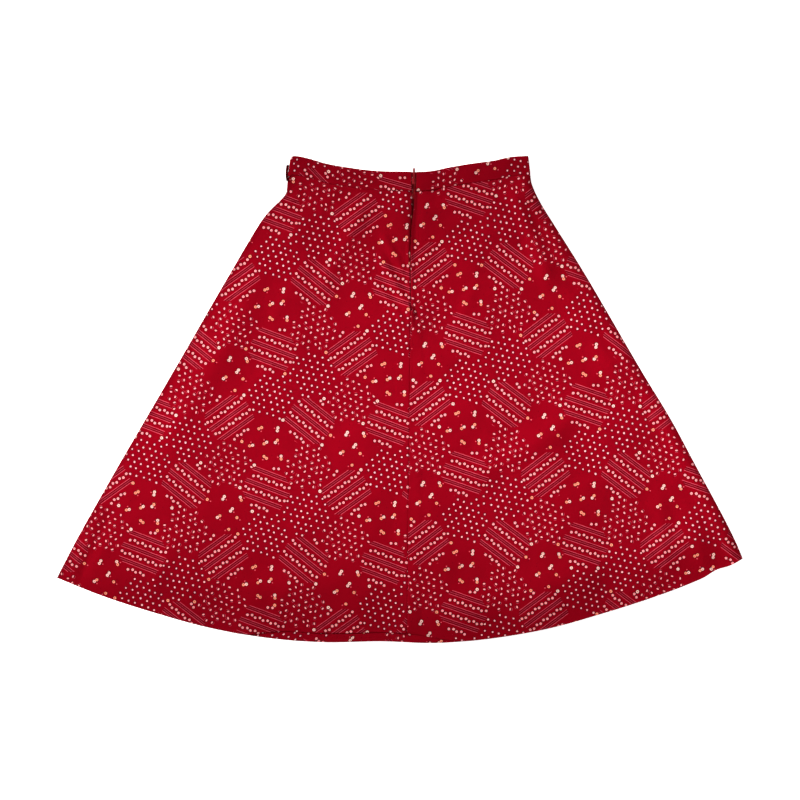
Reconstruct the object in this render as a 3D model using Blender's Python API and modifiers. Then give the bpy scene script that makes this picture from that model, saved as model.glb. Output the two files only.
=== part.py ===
"""An A-line skirt of printed cotton, laid flat with its back upwards.

Run it with blender --background --python part.py, or from Blender's text editor.

Sizes are in millimetres and become metres where an object is made. +Z is up, +Y points
to the waist and +X to the wearer's right. The origin is the middle of the skirt's
outline, on the surface that it lies on. A panel is a sheet of points in the middle of
its cloth, and Solidify gives it its thickness.
"""

import math
from collections import namedtuple

import bmesh
import bpy

MM = 0.001

# Cloth, and the layers that lie on each other
CLOTH = 1.0
BAND_CLOTH = 1.6  # folded over a stiffener
TAPE_CLOTH = 1.0
GAP = 0.3  # between two layers, and between two pieces at a seam
PITCH = CLOTH + GAP
FRONT_Z = CLOTH / 2
BACK_Z = FRONT_Z + PITCH  # where the back lies straight on the front
OVER_HEMS_Z = FRONT_Z + 3 * PITCH  # where it lies on both turned-up hems

# Waistband
BAND_HEIGHT = 25.5
BAND_FRONT_Z = BAND_CLOTH / 2
BAND_BACK_Z = BAND_FRONT_Z + BAND_CLOTH + GAP
BAND_LEFT = -144.2  # its two ends as it lies flat, at the top and at the waist seam
BAND_LEFT_LOW = -147.8
BAND_RIGHT = 169.2
BAND_RIGHT_LOW = 172.2

# Side seams: the front turns up to them and the back turns down
SEAM_Z = 1.5
SEAM_OPEN = 0.6  # between the middles of the two turned edges
FRONT_TURN = 1.3
BACK_TURN = 2.0
SIDE_SWELL = 1.2  # the back stands this much higher beside its side seam
SIDE_SWELL_REACH = 26.0
CORNER_OPEN = 15.0  # above the hem the side edges flatten out over this length

# Hems
HEM_DEPTH = 38.0
HEM_REACH = PITCH / 2 + CLOTH / 2  # from a panel's last point to its fold's outside
FRONT_SHOWS = 10.0  # how far the front hangs below the back at its middle
HEM_INSET = 3.0  # the turned-up edge is shorter than the hem at each side
HEM_SLOPE = 26.0  # above the turned-up edges the back comes down over this length

# Zip
ZIP_END = 119.0  # the coil's lower end
ZIP_TOP = 298.5  # the tapes' upper ends
TAPE_END = 112.0
TAPE_INNER = 2.3
TAPE_OUTER = 14.0
COIL_WIDTH = 4.0
COIL_THICK = 1.4
ZIP_LOW_Z = CLOTH + GAP  # the coil's underside on the front panel
ZIP_HIGH_Z = 2.7  # and in the slider
ZIP_CLIMB = (245.0, 280.0)
ZIP_SWELL = (15.5, 28.0)  # the back is level over the tapes, then comes down
ZIP_SWELL_END = (86.0, 107.0)

# Slider and pull tab
SLIDER_Y = 287.4
SLIDER_LENGTH = 8.0
SLIDER_WIDTH = 5.4
PLATE = 0.6
PLATE_PLAY = 0.2
POST = 1.2
ARCH_LENGTH = 5.4
ARCH_WIDTH = 1.2
ARCH_THICK = 0.6
PIVOT_RISE = 0.7  # the pull tab's axis above the upper plate
TAB_LENGTH = 17.3
TAB_WIDTH = 2.8
TAB_THICK = 0.8
TAB_EYE = 3.3
TAB_RAIL = 0.5

# Belt loop
LOOP_TOP = 309.0
LOOP_BOTTOM = 288.0
LOOP_CLOTH = 1.0
LOOP_GAP = 0.4
LOOP_BULGE = 2.2
LOOP_LOW_Z = 0.2
LOOP_HIGH_Z = 4.8

Waist = namedtuple("Waist", "x y")
WAIST = (  # the waistband's upper edge
    Waist(-150.0, 317.0),
    Waist(-140.0, 320.9),
    Waist(-119.0, 317.2),
    Waist(-98.0, 311.0),
    Waist(-66.0, 305.3),
    Waist(-34.0, 301.4),
    Waist(8.0, 300.0),
    Waist(38.0, 300.4),
    Waist(62.0, 305.2),
    Waist(92.0, 310.4),
    Waist(124.0, 314.8),
    Waist(145.0, 319.4),
    Waist(172.0, 321.4),
)

Side = namedtuple("Side", "y x")
LEFT_SIDE = (
    Side(300.0, -147.6),
    Side(284.0, -148.8),
    Side(272.0, -150.4),
    Side(265.0, -155.5),
    Side(245.0, -175.3),
    Side(226.0, -188.8),
    Side(163.0, -226.0),
    Side(36.0, -299.5),
    Side(-91.0, -373.5),
    Side(-186.0, -427.0),
    Side(-245.0, -457.6),
)
RIGHT_SIDE = (
    Side(300.0, 171.7),
    Side(284.0, 174.0),
    Side(260.0, 185.0),
    Side(226.0, 206.0),
    Side(163.0, 245.3),
    Side(36.0, 319.4),
    Side(-27.0, 357.6),
    Side(-91.0, 392.0),
    Side(-154.0, 426.0),
    Side(-190.0, 443.8),
    Side(-215.0, 454.0),
)

Hem = namedtuple("Hem", "x y")
HEM = (  # the front's fold, which is the outermost
    Hem(-470.0, -228.0),
    Hem(-396.0, -258.0),
    Hem(-322.0, -282.0),
    Hem(-248.0, -302.0),
    Hem(-174.0, -315.0),
    Hem(-100.0, -320.6),
    Hem(-26.0, -319.4),
    Hem(48.0, -321.6),
    Hem(121.0, -315.4),
    Hem(195.0, -302.6),
    Hem(269.0, -282.0),
    Hem(343.0, -258.0),
    Hem(398.0, -236.4),
    Hem(417.0, -225.0),
    Hem(436.0, -218.8),
    Hem(470.0, -199.0),
)

Centre = namedtuple("Centre", "y left right")
CENTRE = (  # the edges of the two halves of the back, along the zip and the seam below it
    Centre(305.0, 15.2, 21.7),
    Centre(288.0, 15.3, 21.5),
    Centre(276.0, 15.8, 20.5),
    Centre(263.0, 16.0, 19.1),
    Centre(243.0, 15.6, 17.4),
    Centre(230.0, 14.6, 15.4),
    Centre(217.0, 13.9, 14.3),
    Centre(197.0, 13.4, 13.7),
    Centre(144.0, 14.0, 14.3),
    Centre(119.0, 14.3, 14.6),
    Centre(105.0, 13.5, 13.8),
    Centre(-330.0, 9.0, 9.3),
)

Fold = namedtuple("Fold", "name x1 y1 x2 y2 reach height")
FOLDS = (  # soft ridges that stand up from the back
    Fold("right side", 150.0, 290.0, 240.0, 132.0, 12.0, 2.4),
    Fold("right waist", 104.0, 292.0, 174.0, 232.0, 10.0, 1.7),
    Fold("left hip", -139.0, 292.0, -148.0, 206.0, 10.0, 2.0),
    Fold("left waist", -107.0, 296.0, -104.0, 222.0, 9.0, 1.2),
    Fold("left hem", -402.0, -150.0, -418.0, -250.0, 12.0, 2.0),
    Fold("right hem", 400.0, -128.0, 421.0, -216.0, 13.0, 2.0),
    Fold("left flare", -70.0, 110.0, -150.0, -250.0, 34.0, 1.2),
    Fold("right flare", 96.0, 120.0, 180.0, -240.0, 34.0, 1.2),
)

# Where a panel's columns and rows of points lie, in millimetres from its edges
SIDE_COLUMNS = (0.0, 0.3, 1.0, 2.0, 8.0, 18.0, 28.0, 40.0)
CENTRE_COLUMNS = (28.0, 15.5, 9.0, 3.5, 0.0)
FRONT_SIDE_COLUMNS = (0.0, 0.25, 0.7, 1.3, 12.0)
BACK_ROWS = (0.0, 6.0, 15.0, 27.0, 60.0, 95.0, 130.0, 166.0, 190.0, 225.0, 270.0, 320.0, 370.0, 420.0)
FRONT_ROWS = (0.0, 27.0, 60.0, 130.0, 200.0, 270.0, 340.0, 410.0, 480.0)
BACK_HEM_ROWS = (66.0, 56.0, 47.0, 38.0, 24.0, 15.0, 7.0, 0.0)
FRONT_HEM_ROWS = (38.0, 15.0, 7.0, 0.0)
TURNED_ROWS = (0.0, 3.0, 8.0, 18.0, 28.0, 38.0)
FOLD_STEPS = 4
TURN_STEPS = 6

RED = (0.37, 0.005, 0.012, 1)
DARK_RED = (0.13, 0.004, 0.010, 1)
MAROON = (0.075, 0.008, 0.012, 1)


def blend(first, second, share):
    return first + (second - first) * share


def ease(low, high, value):
    """0 below low, 1 above high and a smooth step between. It runs down if high is below low."""
    share = min(max((value - low) / (high - low), 0), 1)
    return share * share * (3 - 2 * share)


class Curve:
    """A smooth line through the rows of a table: one column as a function of another."""

    def __init__(self, rows, place, value):
        points = sorted((getattr(row, place), getattr(row, value)) for row in rows)
        self.places = [point[0] for point in points]
        self.values = [point[1] for point in points]

    def slope(self, index):
        low = max(index - 1, 0)
        high = min(index + 1, len(self.places) - 1)
        return (self.values[high] - self.values[low]) / (self.places[high] - self.places[low])

    def __call__(self, place):
        last = len(self.places) - 1
        inside = min(max(place, self.places[0]), self.places[last])
        if place != inside:  # straight on beyond the table
            end = 0 if place < inside else last
            return self.values[end] + (place - inside) * self.slope(end)
        index = 0
        while place > self.places[index + 1]:
            index += 1
        span = self.places[index + 1] - self.places[index]
        share = (place - self.places[index]) / span
        square, cube = share**2, share**3
        return (
            (2 * cube - 3 * square + 1) * self.values[index]
            + (cube - 2 * square + share) * span * self.slope(index)
            + (3 * square - 2 * cube) * self.values[index + 1]
            + (cube - square) * span * self.slope(index + 1)
        )


waist_y = Curve(WAIST, "x", "y")
left_side_x = Curve(LEFT_SIDE, "y", "x")
right_side_x = Curve(RIGHT_SIDE, "y", "x")
front_hem_y = Curve(HEM, "x", "y")
centre_left_x = Curve(CENTRE, "y", "left")
centre_right_x = Curve(CENTRE, "y", "right")


def zip_x(y):
    return (centre_left_x(y) + centre_right_x(y)) / 2


def zip_z(y):
    """The underside of the coil and the tapes, which climb into the slider."""
    return blend(ZIP_LOW_Z, ZIP_HIGH_Z, ease(*ZIP_CLIMB, y))


def seam_y(x):
    """The panels' upper edge, under the waistband."""
    return waist_y(x) - BAND_HEIGHT - GAP


def back_hem_y(x):
    """The back's fold. It lies above the front's and meets it at both corners."""
    half = right_side_x(front_hem_y(x)) if x > 0 else -left_side_x(front_hem_y(x))
    return front_hem_y(x) + FRONT_SHOWS * (1 - min(abs(x) / half, 1) ** 6)


def stations(near, count, far, length):
    """Shares of a length: at distances from its start, evenly between, then from its end."""
    first, last = near[-1] / length, 1 - far[0] / length
    between = [blend(first, last, step / (count + 1)) for step in range(1, count + 1)]
    return [d / length for d in near] + between + [1 - d / length for d in far]


class Panel:
    """The plan of a panel between a left edge, a right edge, the waist seam and a hem."""

    def __init__(self, left_x, right_x, hem_y):
        self.sides = (left_x, right_x)
        self.hem_y = lambda x: hem_y(x) + HEM_REACH
        self.tops = [self.meet(side, seam_y, seam_y(0)) for side in self.sides]
        self.lows = [self.meet(side, self.hem_y, self.hem_y(0)) for side in self.sides]

    @staticmethod
    def meet(side, level, y):
        """The point where an edge crosses the waist seam or the hem."""
        for _ in range(40):
            y = blend(y, level(side(y)), 0.5)
        return side(y), y

    def edge(self, which, down):
        y = blend(self.tops[which][1], self.lows[which][1], down)
        return self.sides[which](y), y

    def level(self, ends, y_of, across):
        x = blend(ends[0][0], ends[1][0], across)
        return x, y_of(x)

    def at(self, across, down):
        """The point at shares of the width and the length, from the four edges."""
        left, right = self.edge(0, down), self.edge(1, down)
        top = self.level(self.tops, seam_y, across)
        low = self.level(self.lows, self.hem_y, across)
        point = []
        for axis in (0, 1):
            corners = blend(
                blend(self.tops[0][axis], self.tops[1][axis], across),
                blend(self.lows[0][axis], self.lows[1][axis], across),
                down,
            )
            sides = blend(left[axis], right[axis], across)
            point.append(sides + blend(top[axis], low[axis], down) - corners)
        return tuple(point)

    def width(self, down):
        return math.dist(self.edge(0, down), self.edge(1, down))

    def length(self, across):
        return math.dist(self.at(across, 0), self.at(across, 1))


# Heights of the back


def fold_z(x, y):
    """How far the soft ridges lift the back here."""
    rise = 0
    for fold in FOLDS:
        run = (fold.x2 - fold.x1, fold.y2 - fold.y1)
        length = math.hypot(*run)
        to_point = (x - fold.x1, y - fold.y1)
        share = (to_point[0] * run[0] + to_point[1] * run[1]) / length**2
        aside = (to_point[0] * run[1] - to_point[1] * run[0]) / length
        ends = ease(0, 0.25, share) * ease(1, 0.75, share)
        rise += fold.height * ends * math.exp(-((aside / fold.reach) ** 2))
    return rise


def back_z(x, y, from_side):
    """The middle of the back's cloth over what lies under it, without its turned-down side."""
    over_hem = (OVER_HEMS_Z - BACK_Z) * ease(
        HEM_DEPTH + 2 + HEM_SLOPE, HEM_DEPTH + 2, y - front_hem_y(x)
    )
    at_band = (BAND_BACK_Z - BACK_Z) * ease(16, 1, seam_y(x) - y)
    at_side = SIDE_SWELL * ease(SIDE_SWELL_REACH, 6, from_side)
    aside = abs(x - zip_x(y))
    along_zip = ease(*ZIP_SWELL_END, y)
    on_tape = (zip_z(y) + TAPE_CLOTH + GAP - BACK_Z + CLOTH / 2) * ease(*ZIP_SWELL[::-1], aside)
    on_coil = (COIL_THICK - TAPE_CLOTH) * ease(5, 3, aside)
    rises = (over_hem, at_band, at_side, (on_tape + on_coil) * along_zip)
    return BACK_Z + sum(rise**4 for rise in rises) ** 0.25 + fold_z(x, y)


def turned(inset, width, flat, seam):
    """The height beside a side seam, where the cloth turns through a quarter of an oval."""
    share = min(inset / width, 1)
    return blend(seam, flat, math.sqrt(1 - (1 - share) ** 2))


# Objects


def make_collection(name):
    collection = bpy.data.collections.new(name)
    bpy.context.scene.collection.children.link(collection)
    return collection


def make_material(name, colour, roughness, metallic=0.0):
    material = bpy.data.materials.new(name)
    material.use_nodes = True
    shader = material.node_tree.nodes["Principled BSDF"]
    shader.inputs["Base Color"].default_value = colour
    shader.inputs["Roughness"].default_value = roughness
    shader.inputs["Metallic"].default_value = metallic
    return material


def keep(obj, material, collection):
    """Puts a new object in its collection alone and gives it its material."""
    for other in list(obj.users_collection):
        other.objects.unlink(obj)
    collection.objects.link(obj)
    obj.data.materials.clear()
    obj.data.materials.append(material)
    return obj


def sheet(name, rows, thickness, material):
    """An object from rows of points in millimetres: a grid moved to them, with Solidify."""
    mesh = bpy.data.meshes.new(name)
    grid = bmesh.new()
    across, down = len(rows[0]) - 1, len(rows) - 1
    bmesh.ops.create_grid(grid, x_segments=across, y_segments=down, size=1)
    for vertex in grid.verts:
        column = round((vertex.co.x + 1) / 2 * across)
        row = round((vertex.co.y + 1) / 2 * down)
        vertex.co = [value * MM for value in rows[row][column]]
    grid.to_mesh(mesh)
    grid.free()
    obj = bpy.data.objects.new(name, mesh)
    solid = obj.modifiers.new("Cloth", "SOLIDIFY")
    solid.thickness = thickness * MM
    solid.offset = 0
    solid.use_even_offset = True
    mesh.shade_smooth()
    return keep(obj, material, skirt)


def box(name, low, high, material, collection):
    """A box between two corners, given in millimetres."""
    middle = [(a + b) / 2 * MM for a, b in zip(low, high)]
    bpy.ops.mesh.primitive_cube_add(size=1, location=middle)
    obj = bpy.context.object
    obj.name = name
    obj.scale = [(b - a) * MM for a, b in zip(low, high)]
    bpy.ops.object.transform_apply(location=False, rotation=False, scale=True)
    return keep(obj, material, collection)


def flat_outline(name, outlines, thickness, material, collection):
    """A flat plate from closed outlines in millimetres, the outer one first, then its holes."""
    curve = bpy.data.curves.new(name, "CURVE")
    curve.dimensions = "2D"
    curve.fill_mode = "BOTH"
    curve.extrude = thickness / 2 * MM
    for outline in outlines:
        spline = curve.splines.new("POLY")
        spline.points.add(len(outline) - 1)
        spline.use_cyclic_u = True
        for point, (x, y) in zip(spline.points, outline):
            point.co = (x * MM, y * MM, 0, 1)
    obj = bpy.data.objects.new(name, curve)
    return keep(obj, material, collection)


def as_mesh(obj):
    """The same plate as a mesh, with its caps joined to its sides."""
    bpy.context.view_layer.update()
    graph = bpy.context.evaluated_depsgraph_get()
    mesh = bpy.data.meshes.new_from_object(obj.evaluated_get(graph))
    welded = bmesh.new()
    welded.from_mesh(mesh)
    bmesh.ops.remove_doubles(welded, verts=welded.verts, dist=0.00001)
    welded.to_mesh(mesh)
    welded.free()
    name, collection, matrix = obj.name, obj.users_collection[0], obj.matrix_world.copy()
    bpy.data.objects.remove(obj)
    made = bpy.data.objects.new(name, mesh)
    made.matrix_world = matrix
    collection.objects.link(made)
    return made


def unite(obj, helpers):
    """Joins helper meshes to an object with Boolean unions and hides them."""
    for helper in helpers:
        union = obj.modifiers.new(helper.name, "BOOLEAN")
        union.operation = "UNION"
        union.object = helper
        helper.hide_render = True
        helper.display_type = "WIRE"


def arc(centre, radius, start, end, steps):
    """Points on an arc, with angles in degrees."""
    angles = [math.radians(blend(start, end, step / steps)) for step in range(steps + 1)]
    return [
        (centre[0] + radius * math.cos(angle), centre[1] + radius * math.sin(angle))
        for angle in angles
    ]


# Pieces of the skirt

front_panel = Panel(
    lambda y: left_side_x(y) + CLOTH / 2,
    lambda y: right_side_x(y) - CLOTH / 2,
    front_hem_y,
)
left_panel = Panel(lambda y: left_side_x(y) + CLOTH / 2, centre_left_x, back_hem_y)
right_panel = Panel(centre_right_x, lambda y: right_side_x(y) - CLOTH / 2, back_hem_y)


def front_columns(width):
    return stations(FRONT_SIDE_COLUMNS, 15, FRONT_SIDE_COLUMNS[::-1], width)


def left_columns(width):
    return stations(SIDE_COLUMNS, 6, CENTRE_COLUMNS, width)


def right_columns(width):
    return stations(CENTRE_COLUMNS[::-1], 6, SIDE_COLUMNS[::-1], width)


def hemmed_panel(name, panel, columns, downs, height, turn):
    """A panel with its hem turned in: up for the front, with turn 1, down for the back, with -1.

    columns(width) gives the shares of a row's width, downs the rows' shares of the length
    and height(x, y, across, down, folded) the middle of the cloth.
    """
    rows = []
    for down in downs:
        row = []
        for across in columns(panel.width(down)):
            x, y = panel.at(across, down)
            row.append((x, y, height(x, y, across, down, False)))
        rows.append(row)
    low_columns = columns(panel.width(1))
    for step in range(1, FOLD_STEPS):
        angle = math.pi * step / FOLD_STEPS
        row = []
        for across in low_columns:
            x, y = panel.at(across, 1)
            above = panel.at(across, 0.99)
            reach = PITCH / 2 * math.sin(angle) / math.dist((x, y), above)
            z = height(x, y, across, 1, True) + turn * PITCH / 2 * (1 - math.cos(angle))
            row.append((x + (x - above[0]) * reach, y + (y - above[1]) * reach, z))
        rows.append(row)
    for distance in TURNED_ROWS:
        row = []
        inset = HEM_INSET * ease(0, 10, distance) / panel.width(1)
        for across in low_columns:
            share = blend(inset, 1 - inset, across)
            x, y = panel.at(share, 1 - distance / panel.length(share))
            row.append((x, y, height(x, y, share, 1, True) + turn * PITCH))
        rows.append(row)
    return sheet(name, rows, CLOTH, cloth)


def make_front():
    def height(x, y, across, down, folded):
        inset = min(across, 1 - across) * front_panel.width(down)
        curl = 0 if folded else ease(0, CORNER_OPEN, y - front_panel.hem_y(x))
        return blend(FRONT_Z, turned(inset, FRONT_TURN, FRONT_Z, SEAM_Z), curl)

    downs = stations(FRONT_ROWS, 0, FRONT_HEM_ROWS, front_panel.length(0.5))
    hemmed_panel("front", front_panel, front_columns, downs, height, 1)


def make_back(name, panel, columns, to_side):
    """Half of the back. to_side(across) is the share of the width from its side seam."""

    def height(x, y, across, down, folded):
        inset = to_side(across) * panel.width(down)
        flat = back_z(x, y, inset)
        drop = 0 if folded else ease(0, CORNER_OPEN, y - panel.hem_y(x))
        return blend(flat, turned(inset, BACK_TURN, flat, SEAM_Z + SEAM_OPEN), drop)

    downs = stations(BACK_ROWS, 0, BACK_HEM_ROWS, panel.length(1 - to_side(0)))
    hemmed_panel(name, panel, columns, downs, height, -1)


def band_back_z(x, y):
    """The back of the waistband, which rises over the zip."""
    over_tape = ZIP_HIGH_Z + TAPE_CLOTH + GAP + BAND_CLOTH / 2
    aside = abs(x - zip_x(y))
    return blend(BAND_BACK_Z, over_tape, ease(*ZIP_SWELL[::-1], aside))


def band_shares(panel, columns, start, end):
    """Shares of the way along the waist seam from start to end where a panel's columns meet it."""
    first, last = (top[0] for top in panel.tops)
    places = [blend(first, last, share) for share in columns(panel.width(0))]
    shares = sorted((place - start) / (end - start) for place in places)
    return [0, *(share for share in shares if 0.01 < share < 0.99), 1]


def make_waistband():
    """One strip, from the left of the zip round the front to its right."""
    radius = (BAND_BACK_Z - BAND_FRONT_Z) / 2
    middle = (BAND_BACK_Z + BAND_FRONT_Z) / 2
    turn = BAND_CLOTH / 2 + radius
    left_low, right_low = BAND_LEFT_LOW + turn, BAND_RIGHT_LOW - turn
    left_of_zip, right_of_zip = left_panel.tops[1][0], right_panel.tops[0][0]
    back_left = band_shares(left_panel, left_columns, left_of_zip, left_low)
    front = band_shares(front_panel, front_columns, left_low, right_low)
    back_right = band_shares(right_panel, right_columns, right_low, right_of_zip)
    rows = []
    for down in (0, 0.25, 0.75, 1):
        left = blend(BAND_LEFT, BAND_LEFT_LOW, down) + turn
        right = blend(BAND_RIGHT, BAND_RIGHT_LOW, down) - turn
        at_zip = waist_y(left_of_zip) - down * BAND_HEIGHT
        starts = (centre_left_x(at_zip), centre_right_x(at_zip))

        def level(x):
            return waist_y(x) - down * BAND_HEIGHT

        row = []
        for share in back_left:
            x = blend(starts[0], left, share)
            row.append((x, level(x), band_back_z(x, level(x))))
        for across, up in arc((0, middle), radius, 90, 270, TURN_STEPS)[1:-1]:
            row.append((left + across, level(left), up))
        for share in front:
            x = blend(left, right, share)
            row.append((x, level(x), BAND_FRONT_Z))
        for across, up in arc((0, middle), radius, -90, 90, TURN_STEPS)[1:-1]:
            row.append((right + across, level(right), up))
        for share in back_right:
            x = blend(right, starts[1], share)
            row.append((x, level(x), band_back_z(x, level(x))))
        rows.append(row)
    return sheet("waistband", rows, BAND_CLOTH, band_cloth)


def zip_strip(name, edges, top, bottom, thickness, rise, material):
    """A strip along the zip between two distances from its middle."""
    count = 20
    rows = []
    for step in range(count + 1):
        y = blend(top, bottom, step / count)
        rows.append([(zip_x(y) + edge, y, zip_z(y) + rise) for edge in edges])
    return sheet(name, rows, thickness, material)


def make_zip():
    rise = TAPE_CLOTH / 2
    for name, side in (("zip_tape_left", -1), ("zip_tape_right", 1)):
        edges = (side * TAPE_INNER, side * TAPE_OUTER)
        zip_strip(name, edges, ZIP_TOP, TAPE_END, TAPE_CLOTH, rise, tape)
    coil_top = SLIDER_Y + SLIDER_LENGTH / 2 - POST - GAP
    edges = (-COIL_WIDTH / 2, COIL_WIDTH / 2)
    zip_strip("zip_coil", edges, coil_top, ZIP_END, COIL_THICK, COIL_THICK / 2, coil)


def pivot():
    """The middle of the pull tab's axis."""
    upper = ZIP_HIGH_Z + COIL_THICK + PLATE_PLAY + PLATE
    return zip_x(SLIDER_Y), SLIDER_Y, upper + PIVOT_RISE


def make_slider():
    """Two plates joined by a post between the coil's halves, with an arch for the tab."""
    x, y, z = pivot()
    upper_top = z - PIVOT_RISE
    lower_top = ZIP_HIGH_Z - PLATE_PLAY
    half_width, half_length = SLIDER_WIDTH / 2, SLIDER_LENGTH / 2
    west, east = x - half_width, x + half_width
    south, north = y - half_length, y + half_length
    plate = box(
        "zip_slider", (west, south, upper_top - PLATE), (east, north, upper_top), metal, skirt
    )
    lower = box(
        "lower_plate", (west, south, lower_top - PLATE), (east, north, lower_top), metal, helpers
    )
    post = box(
        "post",
        (x - POST / 2, north - POST, lower_top - PLATE / 2),
        (x + POST / 2, north - PLATE / 4, upper_top - PLATE / 2),
        metal,
        helpers,
    )
    outer, inner = ARCH_LENGTH / 2, ARCH_LENGTH / 2 - ARCH_THICK
    ceiling = 2 * PIVOT_RISE
    foot = -PLATE / 2
    outline = [(-outer, foot), (-outer, ceiling * 0.5), (-inner * 0.8, ceiling + ARCH_THICK)]
    outline += [(inner * 0.8, ceiling + ARCH_THICK), (outer, ceiling * 0.5), (outer, foot)]
    outline += [(inner, foot), (inner, ceiling * 0.4), (inner * 0.7, ceiling)]
    outline += [(-inner * 0.7, ceiling), (-inner, ceiling * 0.4), (-inner, foot)]
    arch = flat_outline("arch", [outline], ARCH_WIDTH, metal, helpers)
    arch.rotation_euler = (math.pi / 2, 0, math.pi / 2)
    arch.location = (x * MM, y * MM, upper_top * MM)
    unite(plate, (lower, post, as_mesh(arch)))


def make_pull_tab():
    """A flat tab with an eye, whose short bar lies under the slider's arch."""
    half, eye_half = TAB_WIDTH / 2, TAB_WIDTH / 2 - TAB_RAIL
    back = TAB_THICK / 2
    tip = arc((0, TAB_LENGTH - half), half, 0, 180, 8)
    outline = [(half, -back), *tip, (-half, -back)]
    eye = [(-eye_half, back), (-eye_half, TAB_EYE), (eye_half, TAB_EYE), (eye_half, back)]
    tab = flat_outline("zip_pull_tab", [outline, eye], TAB_THICK, metal, skirt)
    tab.location = [value * MM for value in pivot()]
    return as_mesh(tab)


def make_belt_loop():
    """A narrow strip that stands on its edge beside the waistband's left end."""
    rows = []
    count = 8
    for z in (LOOP_LOW_Z, LOOP_HIGH_Z):
        row = []
        for step in range(count + 1):
            share = step / count
            y = blend(LOOP_TOP, LOOP_BOTTOM, share)
            down = (waist_y(BAND_LEFT) - y) / BAND_HEIGHT
            edge = min(blend(BAND_LEFT, BAND_LEFT_LOW, min(down, 1)), left_side_x(y))
            beside = edge - LOOP_GAP - LOOP_CLOTH / 2
            bulge = LOOP_BULGE * math.sin(math.pi * share ** 1.2) ** 0.8
            row.append((beside - bulge, y, z))
        rows.append(row)
    return sheet("belt_loop", rows, LOOP_CLOTH, band_cloth)


for old in list(bpy.data.objects):
    bpy.data.objects.remove(old)

skirt = make_collection("skirt")
helpers = make_collection("helpers")
cloth = make_material("printed_cotton", RED, 0.8)
band_cloth = make_material("waistband_cotton", DARK_RED, 0.8)
tape = make_material("zip_tape", DARK_RED, 0.85)
coil = make_material("zip_coil", MAROON, 0.45)
metal = make_material("enamelled_metal", MAROON, 0.35)

make_front()
make_back("back_left", left_panel, left_columns, lambda across: across)
make_back("back_right", right_panel, right_columns, lambda across: 1 - across)
make_waistband()
make_zip()
make_slider()
make_pull_tab()
make_belt_loop()
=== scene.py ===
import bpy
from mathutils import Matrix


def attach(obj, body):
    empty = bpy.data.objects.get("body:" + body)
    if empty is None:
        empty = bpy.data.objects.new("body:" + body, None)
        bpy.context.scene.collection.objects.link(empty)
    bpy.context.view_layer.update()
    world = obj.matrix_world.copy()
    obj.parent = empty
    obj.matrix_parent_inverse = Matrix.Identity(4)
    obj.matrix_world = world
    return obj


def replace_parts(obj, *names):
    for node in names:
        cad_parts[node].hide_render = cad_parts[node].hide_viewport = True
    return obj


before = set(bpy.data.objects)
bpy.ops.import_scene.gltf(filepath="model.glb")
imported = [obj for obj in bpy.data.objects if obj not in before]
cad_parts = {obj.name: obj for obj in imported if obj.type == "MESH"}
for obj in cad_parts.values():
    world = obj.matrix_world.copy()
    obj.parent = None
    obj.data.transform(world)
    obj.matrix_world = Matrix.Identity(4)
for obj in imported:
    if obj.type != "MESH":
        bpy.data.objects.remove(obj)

"""The looks of an A-line skirt of red calico, laid flat with its back upwards.

Sizes are in millimetres and become metres where an object is made. +Z is up, +Y points to
the waist and +X to the wearer's right. The cloth is made again as fine sheets on the same
tables and heights as the solids, with the creases, puckers and seams that they leave out.
Only the lower edge of the back follows a curve of its own.
"""

import math
from collections import namedtuple

import bpy
import numpy as np
from mathutils import Matrix, Vector

MM = 0.001
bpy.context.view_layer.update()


def table(columns, *rows):
    """Rows of values with named columns."""
    Row = namedtuple("Row", columns)
    return [Row(*row) for row in rows]


# Cloth, which is thinner than the solids' walls, and its layers
CLOTH = 0.5
BAND_CLOTH = 1.6
TAPE_CLOTH = 0.6
THREAD = 0.32
GAP = 0.3
TUCK = 0.2  # a panel's upper edge goes this far under the waistband's lower one
PITCH = 0.7  # from one layer of a hem to the next
FRONT_Z = CLOTH / 2
BACK_Z = 1.5
OVER_HEMS_Z = FRONT_Z + 3 * PITCH  # the back's cloth over both hems

# Waistband
BAND_HEIGHT = 25.5
BAND_FRONT_Z = BAND_CLOTH / 2
BAND_BACK_Z = BAND_FRONT_Z + BAND_CLOTH + GAP
BAND_LEFT = (-144.2, -147.8)  # its left end, at the top and at the seam
BAND_RIGHT = (169.2, 172.2)
BAND_PILLOW = 0.25  # the middle of its face stands this much higher
BAND_CORNER = 4.5  # the upper left one is rounded
BAND_SLOPE = (16.0, 1.0)  # the back rises to the band between these distances below it
BAND_HOLD = 30.0  # within this distance below it the cloth lies flatter
BAND_TOP_INSET = 0.15  # from the fold at its top to the next points

# Side seams
SEAM_Z = 0.8
SEAM_OPEN = 0.6  # from the front's edge up to the back's
FRONT_TURN = 1.3  # the front's edge turns up over this width
ROLL = 16.0  # the back's edge rolls down to its side seam over this width
EDGE_TURN = 1.6  # and turns sharply over this one
EDGE_TURN_SHARE = 0.3  # for this share of its height
SIDE_SWELLS = (0.3, 2.7)  # on the left, which lies flat, and on the right, which is rounder
SIDE_SWELL_FADE = (26.0, 6.0)  # from the side seam: between nothing and all of it
SIDE_LOOSE = 0.3  # the share of its lie that the cloth keeps at the left side
SIDE_HOLD = 60.0  # within this width
CORNER_OPEN = 15.0  # within this much of the hem a side seam spreads
CORNER_LIFT = 0.8  # by this much, for the hems' layers

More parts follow.
